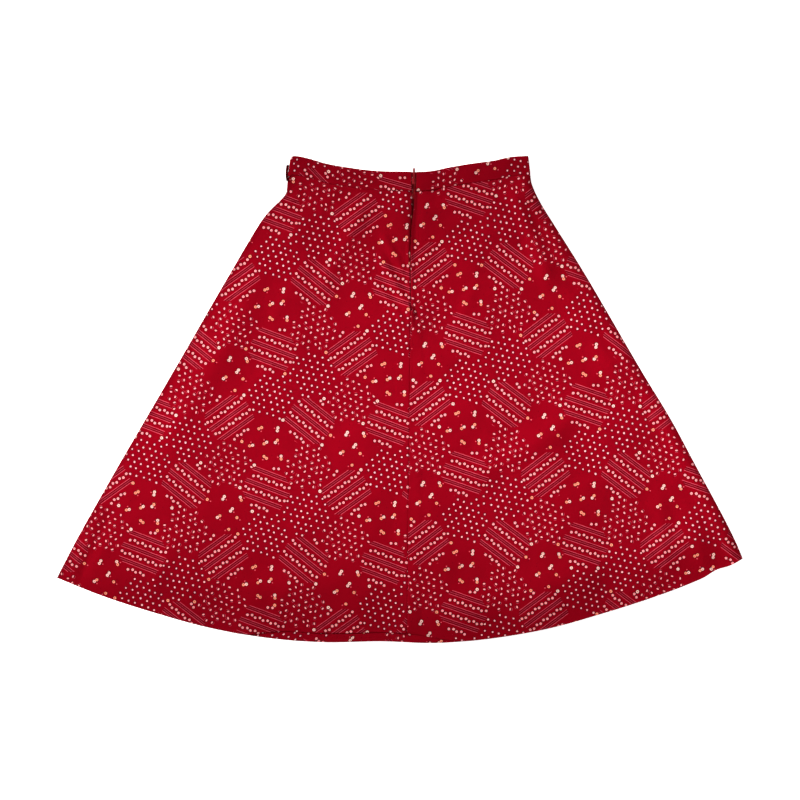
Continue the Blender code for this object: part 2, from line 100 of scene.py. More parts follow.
# Hems
HEM_DEPTH = 38.0
HEM_REACH = PITCH / 2 + CLOTH / 2  # from a hem's lower edge to the start of its fold
HEM_INSET = 3.0  # what is turned in is narrower by this on each side
HEM_INSET_REACH = 10.0  # from this far above the fold
HEM_TURN = np.radians((22, 45, 68, 90, 112, 135, 158))  # round its fold
HEM_ROWS = (0.0, 1.5, 4.0, 8.0, 14.0, 22.0, 30.0, 36.0, HEM_DEPTH)  # from the fold up
HEM_SLOPE = (HEM_DEPTH + 28, HEM_DEPTH + 2)  # the back rises over the front's hem between these
HEM_BULGE = 3.0
HEM_BULGE_RISE = 60.0  # above the hem
HEM_BULGE_REACH = 20.0
HEM_LOOSE = 0.08  # the share of its lie that the cloth keeps at the hem
FRONT_SHOWS = 12.0  # below the middle of the back's hem
FRONT_SHOWS_LEFT = (-215.0, -145.0)  # between nothing and all of it
FRONT_SHOWS_RIGHT = (95.0, 5.0)

# Seams in the back
ALLOWANCE_END = (19.0, 13.0)  # the centre seam's allowances lie open under the cloth
ALLOWANCE_RISE = 0.4
DITCH_WIDTH = 1.3  # the cloth rolls down into a seam over this width
DITCH_DEPTH = 0.5
BAND_DITCH = 1.2  # times as deep at the waistband

# Zip
ZIP_LOW_Z = 1.3
ZIP_HIGH_Z = 2.7
ZIP_CLIMB = (245.0, 280.0)  # between the low level and the high one
ZIP_SWELL = (12.0, 40.0)  # the cloth comes down from the tapes this far from the zip
ZIP_SWELL_END = (86.0, 107.0)  # and at the tapes' end between these
ZIP_STITCHES = 9.0  # from the seam to the row on each side of it
ZIP_TOP_STITCH = 272.0
ZIP_LEVEL = 300.0  # where the zip goes under the waistband's upper edge
FURROW_DEPTH = 0.12  # along its stitches
FURROW_WIDTH = 1.6
LIP_WIDTH = 7.0  # the cloth rolls down to the open zip over this width
LIP_DROP = 1.1
LIP_RISE = (190.0, 235.0)  # up the zip, from none of it to all
TAPE_INNER = 2.3
TAPE_MIDDLE = (2.8, 13.5)  # between the points near its edges
TAPE_OUTER = 14.0
TAPE_END = 112.0
TAPE_TOP = 298.5
COIL_WIDTH = 4.0
COIL_THICK = 1.4
COIL_SLOPE = (5.0, 3.0)  # the cloth rises from the tapes to the coil
COIL_END = 119.0
ZIP_END_STITCH = COIL_END - 3
ZIP_STITCHES_SLANT = 0.6  # down for each millimetre across, at their end
COIL_TOP = 289.6
COIL_PITCH = 1.3
COIL_WIRE = 0.55
COIL_LAP = 0.34  # each spiral reaches this far past the middle of the other
COIL_SIDES = 12

# Zip's slider and its tab
SLIDER_Y = 287.4
SLIDER_LENGTH = 8.0
SLIDER_WIDTH = 5.4
SLIDER_CORNERS = (  # up the right side, in shares of its half width and half length
    (0.78, -1.0), (0.86, -0.6), (0.9, 0.0), (1.0, 0.5), (0.97, 0.8), (0.7, 1.0), (0.25, 0.96),
)
PLATE = 0.6
PLATE_PLAY = 0.2
PLATE_SOFT = 0.22
POST = ((0.6, -1.0), (0.6, 0.2), (-0.6, 0.2), (-0.6, -1.0))
POST_INSET = 0.4
POST_SOFT = 0.1
RIM_SIZE = (0.5, 0.9)
RIM_ENDS = (-0.86, 0.74)  # in shares of half the slider's length
RIM_ALONG = (-3.5, 0.0, 2.2)
RIM_ACROSS = (2.22, 2.3, 2.42)  # from the middle, there
SINK = 0.1  # the rims and the arch go this far into the plate
ARCH_LENGTH = 5.0
ARCH_WIDTH = 1.2
ARCH_THICK = 0.6
ARCH_SQUARE = 0.55  # 1 is an oval, and less than 1 is squarer
PIVOT_RISE = 0.7
TAB_LENGTH = 17.3
TAB_WIDTH = 2.8
TAB_THICK = 0.8
TAB_SOFT = 0.3
TAB_EYE = 3.3
TAB_SIDE = (TAB_EYE, 8.0, 12.0)  # stations along its straight sides
TAB_RAIL = 0.5
EYE_CORNER = 0.5
EYE_SIDE = (TAB_EYE + 0.6, 2.4, 1.4)
EYE_BAR = 0.2  # from its middle to the point on its left
RIDGE_ENDS = (TAB_EYE + 1, TAB_LENGTH - 2.2)
RIDGE_SIZE = (0.7, 0.22)
RIDGE_SINK = 0.02

# Belt loop
LOOP_TOP = 309.0
LOOP_BOTTOM = 288.0
LOOP_WIDTH = 4.6
LOOP_PLY = 0.33  # from one of its three layers to the next
LOOP_CLOTH = 0.27
LOOP_LAP = 0.6  # its first layer stops this much short of the edge
LOOP_SEAT_Y = (288.0, 320.0)  # the waistband's left edge, beside it
LOOP_SEAT_X = (-148.6, -144.2)
LOOP_LOW_X = (0.55, 0.2)  # from there in to its lower edge, at its top and its bottom
LOOP_LOW_Z = 0.5
LOOP_HIGH_X = (2.4, 0.9)  # and out to its upper edge
LOOP_HIGH_Z = 4.5
LOOP_BOW = 1.7  # further out in the middle of its length
TACK_PLACES = (0.05, 0.95)  # as shares of the loop's length
TACK_LENGTH = 0.07
TACK_TURNS = 19
TACK_WIDTH = LOOP_WIDTH - 1.4
TACK_ASIDE = (0.2, 0.1, 1.0)

# The back's main stitches and the shade painted onto its colour beside the zip, the centre seam
# and the side edges
Stitch = namedtuple("Stitch", "pitch length")
ZIP_STITCH = Stitch(2.9, 2.3)
HEM_PRICK = Stitch(7.5, 1.0)
HEM_PRICKS_END = ROLL + 4  # from the panel's edges
HEM_PRICKS_RISE = HEM_DEPTH - 1.5
STITCH_RISE = (-0.8, -0.1, 0.25, 0.25, -0.1, -0.8)  # along it, in thicknesses of thread
# Painted shade on the back's colour: how dark it is at a seam or an edge, and how far it reaches
PaintedShade = namedtuple("PaintedShade", "depth reach")
ZIP_PAINTED_SHADE = PaintedShade(1.0, 4.5)  # beside the open zip
ZIP_PAINTED_SHADE_END = (150.0, 235.0)
SEAM_PAINTED_SHADE = PaintedShade(0.25, 3.0)
SIDE_PAINTED_SHADE = PaintedShade(0.75, 5.5)
PAINTED_SHADE_STRENGTH = 0.38

# Rows and columns of points between those near the edges
FRONT_COLUMNS = 170
FRONT_ROWS = 118
BACK_COLUMNS = 128
BACK_ROWS = 165
BAND_FRONT_COLUMNS = 110
BAND_BACK_COLUMNS = 62  # on each side of the zip
BAND_BACK_LENGTH = 160.0  # about, on each side of it
TAPE_ROWS = 140
TAPE_COLUMNS = 9
LOOP_ROWS = 40
SHARP_ANGLE = math.radians(50)

# Edges of the plan: smooth lines through these points
WAIST = table(
    "x y",
    (-150, 317), (-140, 320.9), (-119, 317.2), (-98, 311), (-66, 305.3),
    (-34, 301.4), (8, 300), (38, 300.4), (62, 305.2), (92, 310.4),
    (124, 314.8), (145, 319.4), (172, 321.4),
)
LEFT_SIDE = table(
    "y x",
    (300, -147.6), (284, -148.8), (272, -150.4), (265, -155.5), (245, -175.3),
    (226, -188.8), (163, -226), (36, -299.5), (-91, -373.5), (-186, -427),
    (-245, -457.6),
)
RIGHT_SIDE = table(
    "y x",
    (300, 171.7), (284, 174), (260, 185), (226, 206), (163, 245.3),
    (36, 319.4), (-27, 357.6), (-91, 392), (-154, 426), (-190, 443.8),
    (-215, 454),
)
HEM = table(
    "x y",
    (-470, -228), (-396, -258), (-322, -282), (-248, -302),
    (-174, -315), (-100, -320.6), (-26, -319.4), (48, -321.6), (121, -315.4),
    (195, -302.6), (269, -282), (343, -258), (398, -236.4), (417, -225),
    (436, -218.8), (470, -199),
)
CENTRE = table(  # where each half of the back ends
    "y left right",
    (305, 15.2, 21.7), (288, 15.3, 21.5), (276, 15.8, 20.5), (263, 16, 19.1),
    (243, 15.6, 17.4), (230, 14.3, 15.6), (217, 13.5, 14.7), (197, 13, 14.1),
    (144, 13.6, 14.7), (119, 14.1, 14.8), (105, 13.5, 13.8), (-330, 9, 9.3),
)

# The back's folds, each from a point to another. A trough has a height below zero.
FOLD = "x1 y1 x2 y2 reach height"
FOLDS = table(
    FOLD,
    (142, 296, 206, 130, 11, 3.6),  # right side
    (164, 240, 330, -44, 13, 2.2),
    (58, 246, 164, 204, 11, 1.7),  # right of the waist
    (-38, 274, -114, 124, 12, 2),  # left of the zip
    (-164, 204, -322, -92, 18, 2.1),  # left side
    (-372, -128, -427, -246, 8, -1.5),  # left corner
    (246, -16, 74, -120, 15, 2.1),  # right of the middle
    (340, -112, 350, -236, 11, 1.8),  # right corner
    (384, -132, 402, -234, 11, 1.5),
)
CREASES = table(  # finer ones, which start below the waistband
    FOLD,
    (-28, 226, 12, 156, 5.5, 1.8),  # pulls towards the end of the zip
    (-32, 198, 24, 98, 6.5, 3.3),
    (-36, 162, 12, 90, 5, 1.6),
    (9, 134, 27, 106, 2.4, -1.5),
    (11, 112, 25, 84, 4, 0.6),
    (108, 166, 68, 84, 8, 0.9),
    (98, 292, 140, 240, 6, 0.6),  # right hip
    (196, 214, 262, 96, 9, 0.7),
    (-72, 296, -112, 232, 6, 0.6),  # left hip
    (-124, 280, -172, 226, 8, 0.7),
    (-120, 180, -176, 96, 9, 0.6),
    (-150, 80, -232, -60, 14, 0.7),
    (-296, -180, -332, -272, 10, 1),  # hem
    (-412, -206, -426, -250, 4, -0.5),
    (16, -212, 15, -312, 9, 1),
    (-150, -240, -168, -312, 10, 0.7),
    (190, -226, 212, -300, 10, 0.8),
    (426, -160, 442, -214, 6, 0.7),
)
CREASES_START = 5.0  # below the waistband, where they are whole
FOLD_ENDS = 0.25  # the share of a fold's or crease's length over which it dies away

# Random surfaces: the lie of loose cloth, the hem's bulge and waves in the waistband
Ripple = namedtuple("Ripple", "height pitch seed")
LIE = (Ripple(1.8, 96.0, 1), Ripple(1.5, 47.0, 2), Ripple(0.42, 19.0, 3))
LIE_RISE = 3.3  # of loose cloth over the solids, before its ripples
HEM_BULGE_RIPPLE = Ripple(0.5, 80.0, 61)
HEM_BULGE_SHARE = 0.7  # of its height, before the ripple
BAND_WAVES = (Ripple(0.3, 13.0, 51), Ripple(0.26, 34.0, 52))
RIPPLE_CELLS = 64

# Puckers along the waist seam, the centre seam, the blind stitches and the hem's edge
Pucker = namedtuple("Pucker", "pitch reach depth seed")
WAIST_PUCKERS = Pucker(9.0, 13.0, 0.28, 11)
CENTRE_PUCKERS = Pucker(12.0, 7.0, 0.16, 21)
BLIND_PUCKERS = Pucker(11.0, 5.0, 0.14, 31)
HEM_PUCKERS = Pucker(26.0, 14.0, 0.3, 41)

# The print: six-sided patches of one size, each filled with one of four kinds of motif
PATCH = 61.0  # across the flats
PATCH_CORNER = PATCH / math.sqrt(3)  # from its middle to a corner
CORNER_MARGIN = 1.6  # motifs stay clear of corners by this much more than of sides
SLANT = math.sqrt(3) / 2
INK_EDGE = 0.22  # the print's edges are soft over this width
RAGGED = 0.5  # and wander by this much
THREAD_PITCH = 0.45  # of the weave
DOT_PITCH = 8.9
DOT_SCATTER = 0.28  # 0 is an even lattice
DOT_MARGIN = 1.4
DOT_RADIUS = 1.08
DOT_GROWTH = 0.28
DOT_HALO = 2.15
OVAL = (1.3, 0.84)  # how far dots beside leaves are squeezed
OVAL_RADIUS = 1.36
LEAF_ARCS = ((2.85, 0.26), (2.25, 0.3))  # radius and half width of a leaf and its shade
LEAF_SPREAD = 0.78  # the cosine of half its arc
NO_LEAF = 0.35  # the share of dots without one
PAIR_PITCH = 19.5
PAIR_SCATTER = 0.45
PAIR_MARGIN = 3.0
PAIR_REACH = 1.95  # from the middle of a pair to the middle of a flower
LONE = 0.16  # the share of pairs that have lost a flower
FIRST_ORANGE = (0.12, 0.6)  # the pairs of which the first flower is orange
SECOND_ORANGE = 0.52  # and from here up the second one is
BERRY = ((0.6, 4.3, 0.0), 0.85)  # its middle and radius
DARK_LEAF = ((2.0, 3.2, 0.0), 0.75)
ROW_PITCH = 18.4
ROW_START = -7.6  # from a patch's middle to one of its rows
ROW_MARGIN = 1.9
ROW_FLOWER_PITCH = 5.45
ZIGZAG = 0.9
ZIGZAG_ALONG = 0.3  # of which this share is along the row
LINE_PITCH = 2.65
LINE_MARGIN = 1.0
LINE_HALF = 0.27
MIDDLE_LINE_HALF = 0.24
FLECK_PITCH = 11.0
FLECK_RADIUS = 0.55
FLECKS = 0.4  # the share of places that have one
CORNERS = 0.4  # the share of corners that have a flower
ORANGE_CORNERS = 0.14  # and that have an orange one
PATCH_SHIFT = (71.0, 43.0)  # from one patch's scattered motifs to the next one's
RIB_PITCH = 0.8  # along the zip's tapes
RIB_STRIPES = 3.2  # across them
PLY_PITCH = 0.42  # of the sewing thread
PETAL_DEPTH = 0.07
Flower = namedtuple("Flower", "petals radius eye halo")
PAIR_FLOWER = Flower(6, 1.9, 0.7, 2.75)
ROW_FLOWER = Flower(5, 1.68, 0.5, 2.6)
CORNER_FLOWER = Flower(6, 2.0, 0.75, 2.8)
MOTIFS = ("stripes", "pairs", "leaves")  # and dots
PATCHES = table(  # three columns of three, which the cloth repeats
    "motif slope",
    ("stripes", -18),
    ("pairs", 10),
    ("dots", -16),
    ("leaves", 24),
    ("stripes", -36),
    ("dots", -12),
    ("pairs", 35),
    ("leaves", -20),
    ("stripes", 38),
)

Lay = namedtuple("Lay", "turn x y mirror")
LAYS = {  # how each piece was laid on the printed cloth: turned in degrees, then moved
    "left": Lay(2.5, 12, 34, 1),
    "right": Lay(0.8, 71, 5, 1),
    "front": Lay(1.5, 40, 18, -1),
    "band": Lay(-3, 23, 9, 1),
    "loop": Lay(90, 31, 12, 1),
    "tape": Lay(0, 0, 0, 1),
}

# Camera, floor and lights, in metres, degrees and watts
LENS = 70
VIEW_WIDTH = 1.056
CAMERA_Y = -0.0009
FLOOR_WIDTH = 8.0
FLOOR_Z = -0.0003
WORLD_STRENGTH = 0.07
LIGHTS = table(
    "name place size spread power",
    ("key_box", (-4.6, 2.1, 2.55), (1.6, 0.6), 6, 7.0),
    ("over_box", (0.0, 0.02, 2.3), (1.4, 0.35), 18, 0.62),
    ("fill_box", (4.4, -1.4, 3.0), (1.6, 0.6), 6, 1.05),
)


def display(red, green, blue):
    """A colour as a screen shows it, from 0 to 255, as the light that the shader works in."""
    shares = (value / 255 for value in (red, green, blue))
    return (*(s / 12.92 if s <= 0.04045 else ((s + 0.055) / 1.055) ** 2.4 for s in shares), 1)


def blend(first, second, share):
    return first + (second - first) * share


def ease(low, high, value):
    """0 below low, 1 above high and a smooth step between. It runs down if high is below low."""
    share = np.clip((value - low) / (high - low), 0, 1)
    return share * share * (3 - 2 * share)


def bell(away, reach):
    """1 in the middle, dying away to both sides."""
    return np.exp(-((away / reach) ** 2))


def quarter(inset, width):
    """0 at an edge and 1 past a width from it, round a quarter of an oval."""
    return np.sqrt(1 - (1 - np.clip(inset / width, 0, 1)) ** 2)


def ripple(x, y, kind):
    """A soft random surface as high above 0 as below it, whose hills are about a pitch across."""
    heights = np.random.default_rng(kind.seed).uniform(-1, 1, (RIPPLE_CELLS, RIPPLE_CELLS))
    column, row = np.floor(x / kind.pitch), np.floor(y / kind.pitch)
    right, up = ease(0, 1, x / kind.pitch - column), ease(0, 1, y / kind.pitch - row)
    column, row = column.astype(int), row.astype(int)

    def corner(across, along):
        return heights[(column + across) % RIPPLE_CELLS, (row + along) % RIPPLE_CELLS]

    low = blend(corner(0, 0), corner(1, 0), right)
    high = blend(corner(0, 1), corner(1, 1), right)
    return kind.height * blend(low, high, up)


class Curve:
    """A smooth line through rows of a place and a value, straight on beyond both ends."""

    def __init__(self, rows):
        points = np.array(sorted(rows)).T
        around = np.pad(points, ((0, 0), (1, 1)), "edge")
        run, rise = around[:, 2:] - around[:, :-2]
        self.places, self.values, self.slopes = *points, rise / run

    def __call__(self, place):
        inside = np.clip(place, self.places[0], self.places[-1])
        beyond = np.where(place < inside, self.slopes[0], self.slopes[-1]) * (place - inside)
        start = np.searchsorted(self.places, inside, side="right") - 1
        start = np.minimum(start, len(self.places) - 2)
        span = self.places[start + 1] - self.places[start]
        share = (inside - self.places[start]) / span
        square, cube = share**2, share**3
        return (
            (2 * cube - 3 * square + 1) * self.values[start]
            + (cube - 2 * square + share) * span * self.slopes[start]
            + (3 * square - 2 * cube) * self.values[start + 1]
            + (cube - square) * span * self.slopes[start + 1]
            + beyond
        )


waist_y = Curve(WAIST)
left_side_x = Curve(LEFT_SIDE)
right_side_x = Curve(RIGHT_SIDE)
front_hem_y = Curve(HEM)
centre_left_x = Curve((row.y, row.left) for row in CENTRE)
centre_right_x = Curve((row.y, row.right) for row in CENTRE)


def left_edge_x(y):
    return left_side_x(y) + CLOTH / 2


def right_edge_x(y):
    return right_side_x(y) - CLOTH / 2


def zip_x(y):
    return (centre_left_x(y) + centre_right_x(y)) / 2


def zip_z(y):
    """The underside of the coil and the tapes."""
    return blend(ZIP_LOW_Z, ZIP_HIGH_Z, ease(*ZIP_CLIMB, y))


def seam_y(x):
    """The panels' upper edge, under the waistband."""
    return waist_y(x) - BAND_HEIGHT + TUCK


def back_hem_y(x):
    return front_hem_y(x) + FRONT_SHOWS * ease(*FRONT_SHOWS_LEFT, x) * ease(*FRONT_SHOWS_RIGHT, x)


class Panel:
    """The plan of a panel between a left edge, a right edge, the waist seam and a hem."""

    def __init__(self, left_x, right_x, hem_y):
        self.sides = (left_x, right_x)
        self.hem_y = lambda x: hem_y(x) + HEM_REACH
        self.tops = [self.meet(side, seam_y) for side in self.sides]
        self.lows = [self.meet(side, self.hem_y) for side in self.sides]

    @staticmethod
    def meet(side, level):
        """The point where an edge crosses the waist seam or the hem."""
        y = level(0.0)
        for _ in range(40):
            y = blend(y, level(side(y)), 0.5)
        return np.array((side(y), y))

    def edge(self, which, down):
        """The point at a share of the way down the left edge, 0, or the right one, 1."""
        y = blend(self.tops[which][1], self.lows[which][1], down)
        return np.array((self.sides[which](y), y))

    def at(self, across, down):
        """The points at shares of the width and the length, from the four edges."""
        across, down = np.broadcast_arrays(across, down)
        sides = blend(self.edge(0, down), self.edge(1, down), across)
        top, low = (
            np.array([blend(left, right, across) for left, right in zip(*ends)])
            for ends in (self.tops, self.lows)
        )
        curved_top = np.array((top[0], seam_y(top[0])))
        curved_low = np.array((low[0], self.hem_y(low[0])))
        return sides + blend(curved_top, curved_low, down) - blend(top, low, down)

    def width(self, down):
        return np.hypot(*(self.edge(0, down) - self.edge(1, down)))

    def length(self, across):
        return np.hypot(*(self.at(across, 0.0) - self.at(across, 1.0)))


front_panel = Panel(left_edge_x, right_edge_x, front_hem_y)
left_panel = Panel(left_edge_x, centre_left_x, back_hem_y)
right_panel = Panel(centre_right_x, right_edge_x, back_hem_y)


def steps(first, growth, reach):
    """Distances from 0 to reach, each step longer than the one before it."""
    places = [0.0]
    while places[-1] < reach:
        places.append(places[-1] + first)
        first *= growth
    return np.array(places)


def stations(near, count, far, length):
    """Shares of a length: at distances from its start, evenly between, then from its end."""
    length = np.asarray(length, float).reshape(-1, 1)
    first, last = near[-1] / length, 1 - far[-1] / length
    between = blend(first, last, np.arange(1, count + 1) / (count + 1))
    return np.hstack([near / length, between, 1 - far[::-1] / length])


def travelled(line):
    """How far each point of a line is along it."""
    return np.concatenate([[0], np.cumsum(np.linalg.norm(np.diff(line, axis=0), axis=1))])


def unit(vectors):
    return vectors / np.linalg.norm(vectors, axis=-1, keepdims=True)


def points_at(*axes):
    """Points from their coordinates."""
    return np.stack(np.broadcast_arrays(*axes), -1)


# Heights of the back


def fold_z(folds, x, y):
    rise = np.zeros(np.shape(x))
    for fold in folds:
        run = (fold.x2 - fold.x1, fold.y2 - fold.y1)
        length = math.hypot(*run)
        share = ((x - fold.x1) * run[0] + (y - fold.y1) * run[1]) / length**2
        aside = ((x - fold.x1) * run[1] - (y - fold.y1) * run[0]) / length
        ends = ease(0, FOLD_ENDS, share) * ease(1, 1 - FOLD_ENDS, share)
        rise += fold.height * ends * bell(aside, fold.reach)
    return rise


def back_z(x, y, from_side):
    """The middle of the back's cloth over what lies under it, as the solids have it."""
    over_hem = (OVER_HEMS_Z - BACK_Z) * ease(*HEM_SLOPE, y - front_hem_y(x))
    at_band = (BAND_BACK_Z - BACK_Z) * ease(*BAND_SLOPE, seam_y(x) - y)
    at_side = np.where(x < 0, *SIDE_SWELLS) * ease(*SIDE_SWELL_FADE, from_side)
    aside = np.abs(x - zip_x(y))
    on_tape = (zip_z(y) + TAPE_CLOTH + GAP - BACK_Z + CLOTH / 2) * ease(*ZIP_SWELL[::-1], aside)
    on_coil = (COIL_THICK - TAPE_CLOTH) * ease(*COIL_SLOPE, aside)
    over_zip = (on_tape + on_coil) * ease(*ZIP_SWELL_END, y)
    rises = (over_hem, at_band, at_side, over_zip)
    return BACK_Z + sum(rise**4 for rise in rises) ** 0.25 + fold_z(FOLDS, x, y)


def ditch(inset):
    """How far the cloth rolls down beside a seam."""
    return DITCH_DEPTH * (quarter(inset, DITCH_WIDTH) - 1)


def puckers(along, aside, kind):
    """Small waves along a line of stitches, which die away to its side."""
    coarse = Ripple(kind.depth, kind.pitch, kind.seed)
    fine = Ripple(kind.depth / 2, kind.pitch / 2, kind.seed + 1)
    wave = ripple(along, aside / 3, coarse) + ripple(along, aside / 3, fine)
    return wave * np.exp(-np.abs(aside) / kind.reach)


def relief(x, y, from_seam):
    """What the solids leave out: creases, the lie of the cloth and the pull of its stitches."""
    below_band = seam_y(x) - y
    above_hem = y - back_hem_y(x)
    lie = LIE_RISE + sum(ripple(x, y, kind) for kind in LIE)
    lie *= ease(0, BAND_HOLD, below_band)
    lie *= blend(HEM_LOOSE, 1, ease(0, HEM_DEPTH, above_hem))
    lie *= blend(SIDE_LOOSE, 1, ease(0, SIDE_HOLD, x - left_side_x(y)))
    creases = fold_z(CREASES, x, y) * ease(0, CREASES_START, below_band)
    open_seam = ALLOWANCE_RISE * ease(*ALLOWANCE_END, from_seam) * ease(*ZIP_SWELL_END[::-1], y)
    stitched = puckers(x, below_band, WAIST_PUCKERS)
    stitched += puckers(y, from_seam, CENTRE_PUCKERS)
    stitched += puckers(x, above_hem - HEM_DEPTH, BLIND_PUCKERS)
    stitched += puckers(x, above_hem, HEM_PUCKERS)
    furrow = -FURROW_DEPTH * bell(from_seam - ZIP_STITCHES, FURROW_WIDTH) * ease(*ZIP_SWELL_END, y)
    lip = -LIP_DROP * (1 - ease(0, LIP_WIDTH, from_seam)) * ease(*LIP_RISE, y)
    bulge = HEM_BULGE * bell(above_hem - HEM_BULGE_RISE, HEM_BULGE_REACH)
    bulge *= HEM_BULGE_SHARE + ripple(x, 0.0, HEM_BULGE_RIPPLE)
    return lie + creases + open_seam + stitched + furrow + lip + bulge


def rolled(inset):
    """The share of its height that the back has beside a side seam."""
    slow = 1 - (1 - np.clip(inset / ROLL, 0, 1)) ** 2
    return blend(slow, quarter(inset, EDGE_TURN), EDGE_TURN_SHARE)


# Objects


def lay(points, way):
    """Where points of a piece, in its own plane, lie on the printed cloth."""
    angle = math.radians(way.turn)
    x, y = points[..., 0] * way.mirror, points[..., 1]
    across = x * math.cos(angle) - y * math.sin(angle) + way.x
    along = x * math.sin(angle) + y * math.cos(angle) + way.y
    return points_at(across, along)


def placed(name, data, place=(0, 0, 0)):
    """A new object in the scene."""
    obj = bpy.data.objects.new(name, data)
    obj.location = place
    bpy.context.scene.collection.objects.link(obj)
    return obj


def mesh_object(name, points, faces, material, body="skirt", cut=None):
    """An object from points in millimetres, with its place on the printed cloth as a UV map."""
    mesh = bpy.data.meshes.new(name)
    mesh.from_pydata(np.asarray(points) * MM, [], [list(map(int, face)) for face in faces])
    if cut is not None:
        corners = np.empty(len(mesh.loops), int)
        mesh.loops.foreach_get("vertex_index", corners)
        layer = mesh.uv_layers.new(name="cut")
        layer.uv.foreach_set("vector", (np.asarray(cut)[corners] * MM).astype(np.float32).ravel())
    mesh.shade_smooth()
    mesh.set_sharp_from_angle(angle=SHARP_ANGLE)
    mesh.materials.append(material)
    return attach(placed(name, mesh), body)


def grid_faces(rows, columns, closed=False):
    """The quads of a grid of points, joined round its rows where it is closed."""
    index = np.arange(rows * columns).reshape(rows, columns)
    if closed:
        index = np.vstack([index, index[:1]])
    square = (index[:-1, :-1], index[1:, :-1], index[1:, 1:], index[:-1, 1:])
    return np.stack(square, -1).reshape(-1, 4)


def capped(points):
    """A closed solid from a grid of points whose rows go round it."""
    rows, columns = points.shape[:2]
    starts = np.arange(rows) * columns
    faces = [*grid_faces(rows, columns, closed=True), starts[::-1], starts + columns - 1]
    return points.reshape(-1, 3), faces


def tube(path, wide, thick, aside, sides=8):
    """A closed oval tube along points: wide towards the direction aside, thick across it."""
    path, aside = np.asarray(path, float), np.asarray(aside, float)
    run = unit(np.gradient(path, axis=0))
    first = unit(aside - run * (run @ aside)[:, None])
    second = np.cross(run, first)
    angles = np.arange(sides)[:, None, None] * (2 * math.pi / sides)
    points = path + first * (wide / 2 * np.cos(angles)) + second * (thick / 2 * np.sin(angles))
    return capped(points)


def slab(outline, low, high, soft):
    """A flat solid between two heights, from points anticlockwise round it, with soft edges."""
    outline = np.asarray(outline, float)
    middle = outline.mean(axis=0)
    away = outline - middle
    reach = np.linalg.norm(away, axis=1, keepdims=True)
    turns = np.radians((0, 30, 60, 90))
    insets, rises = soft * (1 - np.sin(turns)), soft * (1 - np.cos(turns))
    rings = [*zip(insets, low + rises), *zip(insets[::-1], high - rises[::-1])]
    points = [
        np.column_stack([middle + away * (1 - inset / reach), np.full(len(outline), z)])
        for inset, z in rings
    ]
    return capped(np.stack(points, 1))


def joined(name, bits, material, body="skirt"):
    """One object from several solids."""
    points, faces, count = [], [], 0
    for bit_points, bit_faces in bits:
        points.append(bit_points)
        faces += [np.asarray(face) + count for face in bit_faces]
        count += len(bit_points)
    obj = mesh_object(name, np.concatenate(points), faces, material, body)
    return obj


def cloth_sheet(name, points, flat, way, thickness, material, soil=None):
    """A sheet of cloth from rows of points, and the same points as they were cut, flat.

    soil is how much painted shade darkens it at each point, where 1 is beside the open zip.
    """
    cut = lay(flat, way).reshape(-1, 2)
    faces = grid_faces(*points.shape[:2])
    obj = mesh_object(name, points.reshape(-1, 3), faces, material, cut=cut)
    if soil is not None:
        layer = obj.data.attributes.new("soil", "FLOAT", "POINT")
        layer.data.foreach_set("value", soil.astype(np.float32).ravel())
    solid = obj.modifiers.new("Cloth", "SOLIDIFY")
    solid.thickness = thickness * MM
    solid.offset = 0
    solid.use_even_offset = True
    return obj


def flat_area(flat):
    """The area of a grid of flat points, in square metres."""
    across = flat[1:, 1:] - flat[:-1, :-1]
    other = flat[1:, :-1] - flat[:-1, 1:]
    twice = across[..., 0] * other[..., 1] - across[..., 1] * other[..., 0]
    return float(np.abs(twice).sum() / 2 * MM * MM)


def declare_cut(flat):
    """Works out the area of the flat piece that an object was cut as, and does nothing with it."""
    flat_area(flat)


# Panels

EDGE_STEPS = steps(0.25, 1.45, 7.0)
TOP_STEPS = steps(1.0, 1.4, 7.0)
HEM_STEPS = steps(0.5, 1.35, 46.0)


def hemmed_panel(panel, columns, downs, height, turn):
    """A panel with its hem turned in, as rows of points and the flat points they came from.

    turn is 1 where the hem turns up and -1 where it turns down.
    """
    radius = PITCH / 2
    across = columns(panel.width(downs))
    down = downs[:, None]
    x, y = panel.at(across, down)
    points = [points_at(x, y, height(x, y, across, down, False))]
    flats = [points_at(x, y)]
    low = columns(panel.width(1.0))
    fold = panel.at(low, 1.0)
    outward = fold - panel.at(low, 0.99)
    outward /= np.hypot(*outward)
    level = height(*fold, low, 1.0, True)
    for angle in HEM_TURN:
        x, y = fold + outward * radius * math.sin(angle)
        points.append(points_at(x, y, level + turn * radius * (1 - math.cos(angle))))
        flats.append(points_at(*(fold + outward * radius * angle)))
    for distance in HEM_ROWS:
        inset = HEM_INSET * ease(0, HEM_INSET_REACH, distance) / panel.width(1.0)
        share = blend(inset, 1 - inset, low)
        down = 1 - distance / panel.length(share)
        x, y = panel.at(share, down)
        points.append(points_at(x, y, height(x, y, share, down, True) + turn * PITCH))
        flats.append(points_at(*(fold + outward * (radius * math.pi + distance))))
    return np.concatenate(points), np.concatenate(flats)


def make_front():
    """The whole front, which lies flat on the floor under the back."""
    def height(x, y, across, down, folded):
        inset = np.minimum(across, 1 - across) * front_panel.width(down)
        curl = 0 if folded else ease(0, CORNER_OPEN, y - front_panel.hem_y(x))
        return FRONT_Z + (SEAM_Z - FRONT_Z) * (1 - quarter(inset, FRONT_TURN)) * curl

    def columns(width):
        return stations(EDGE_STEPS, FRONT_COLUMNS, EDGE_STEPS, width)

    downs = stations(TOP_STEPS, FRONT_ROWS, HEM_STEPS, front_panel.length(0.5))[0]
    points, flat = hemmed_panel(front_panel, columns, downs, height, 1)
    obj = cloth_sheet("front_panel", points, flat, LAYS["front"], CLOTH, calico)
    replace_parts(obj, "front")
    declare_cut(flat)


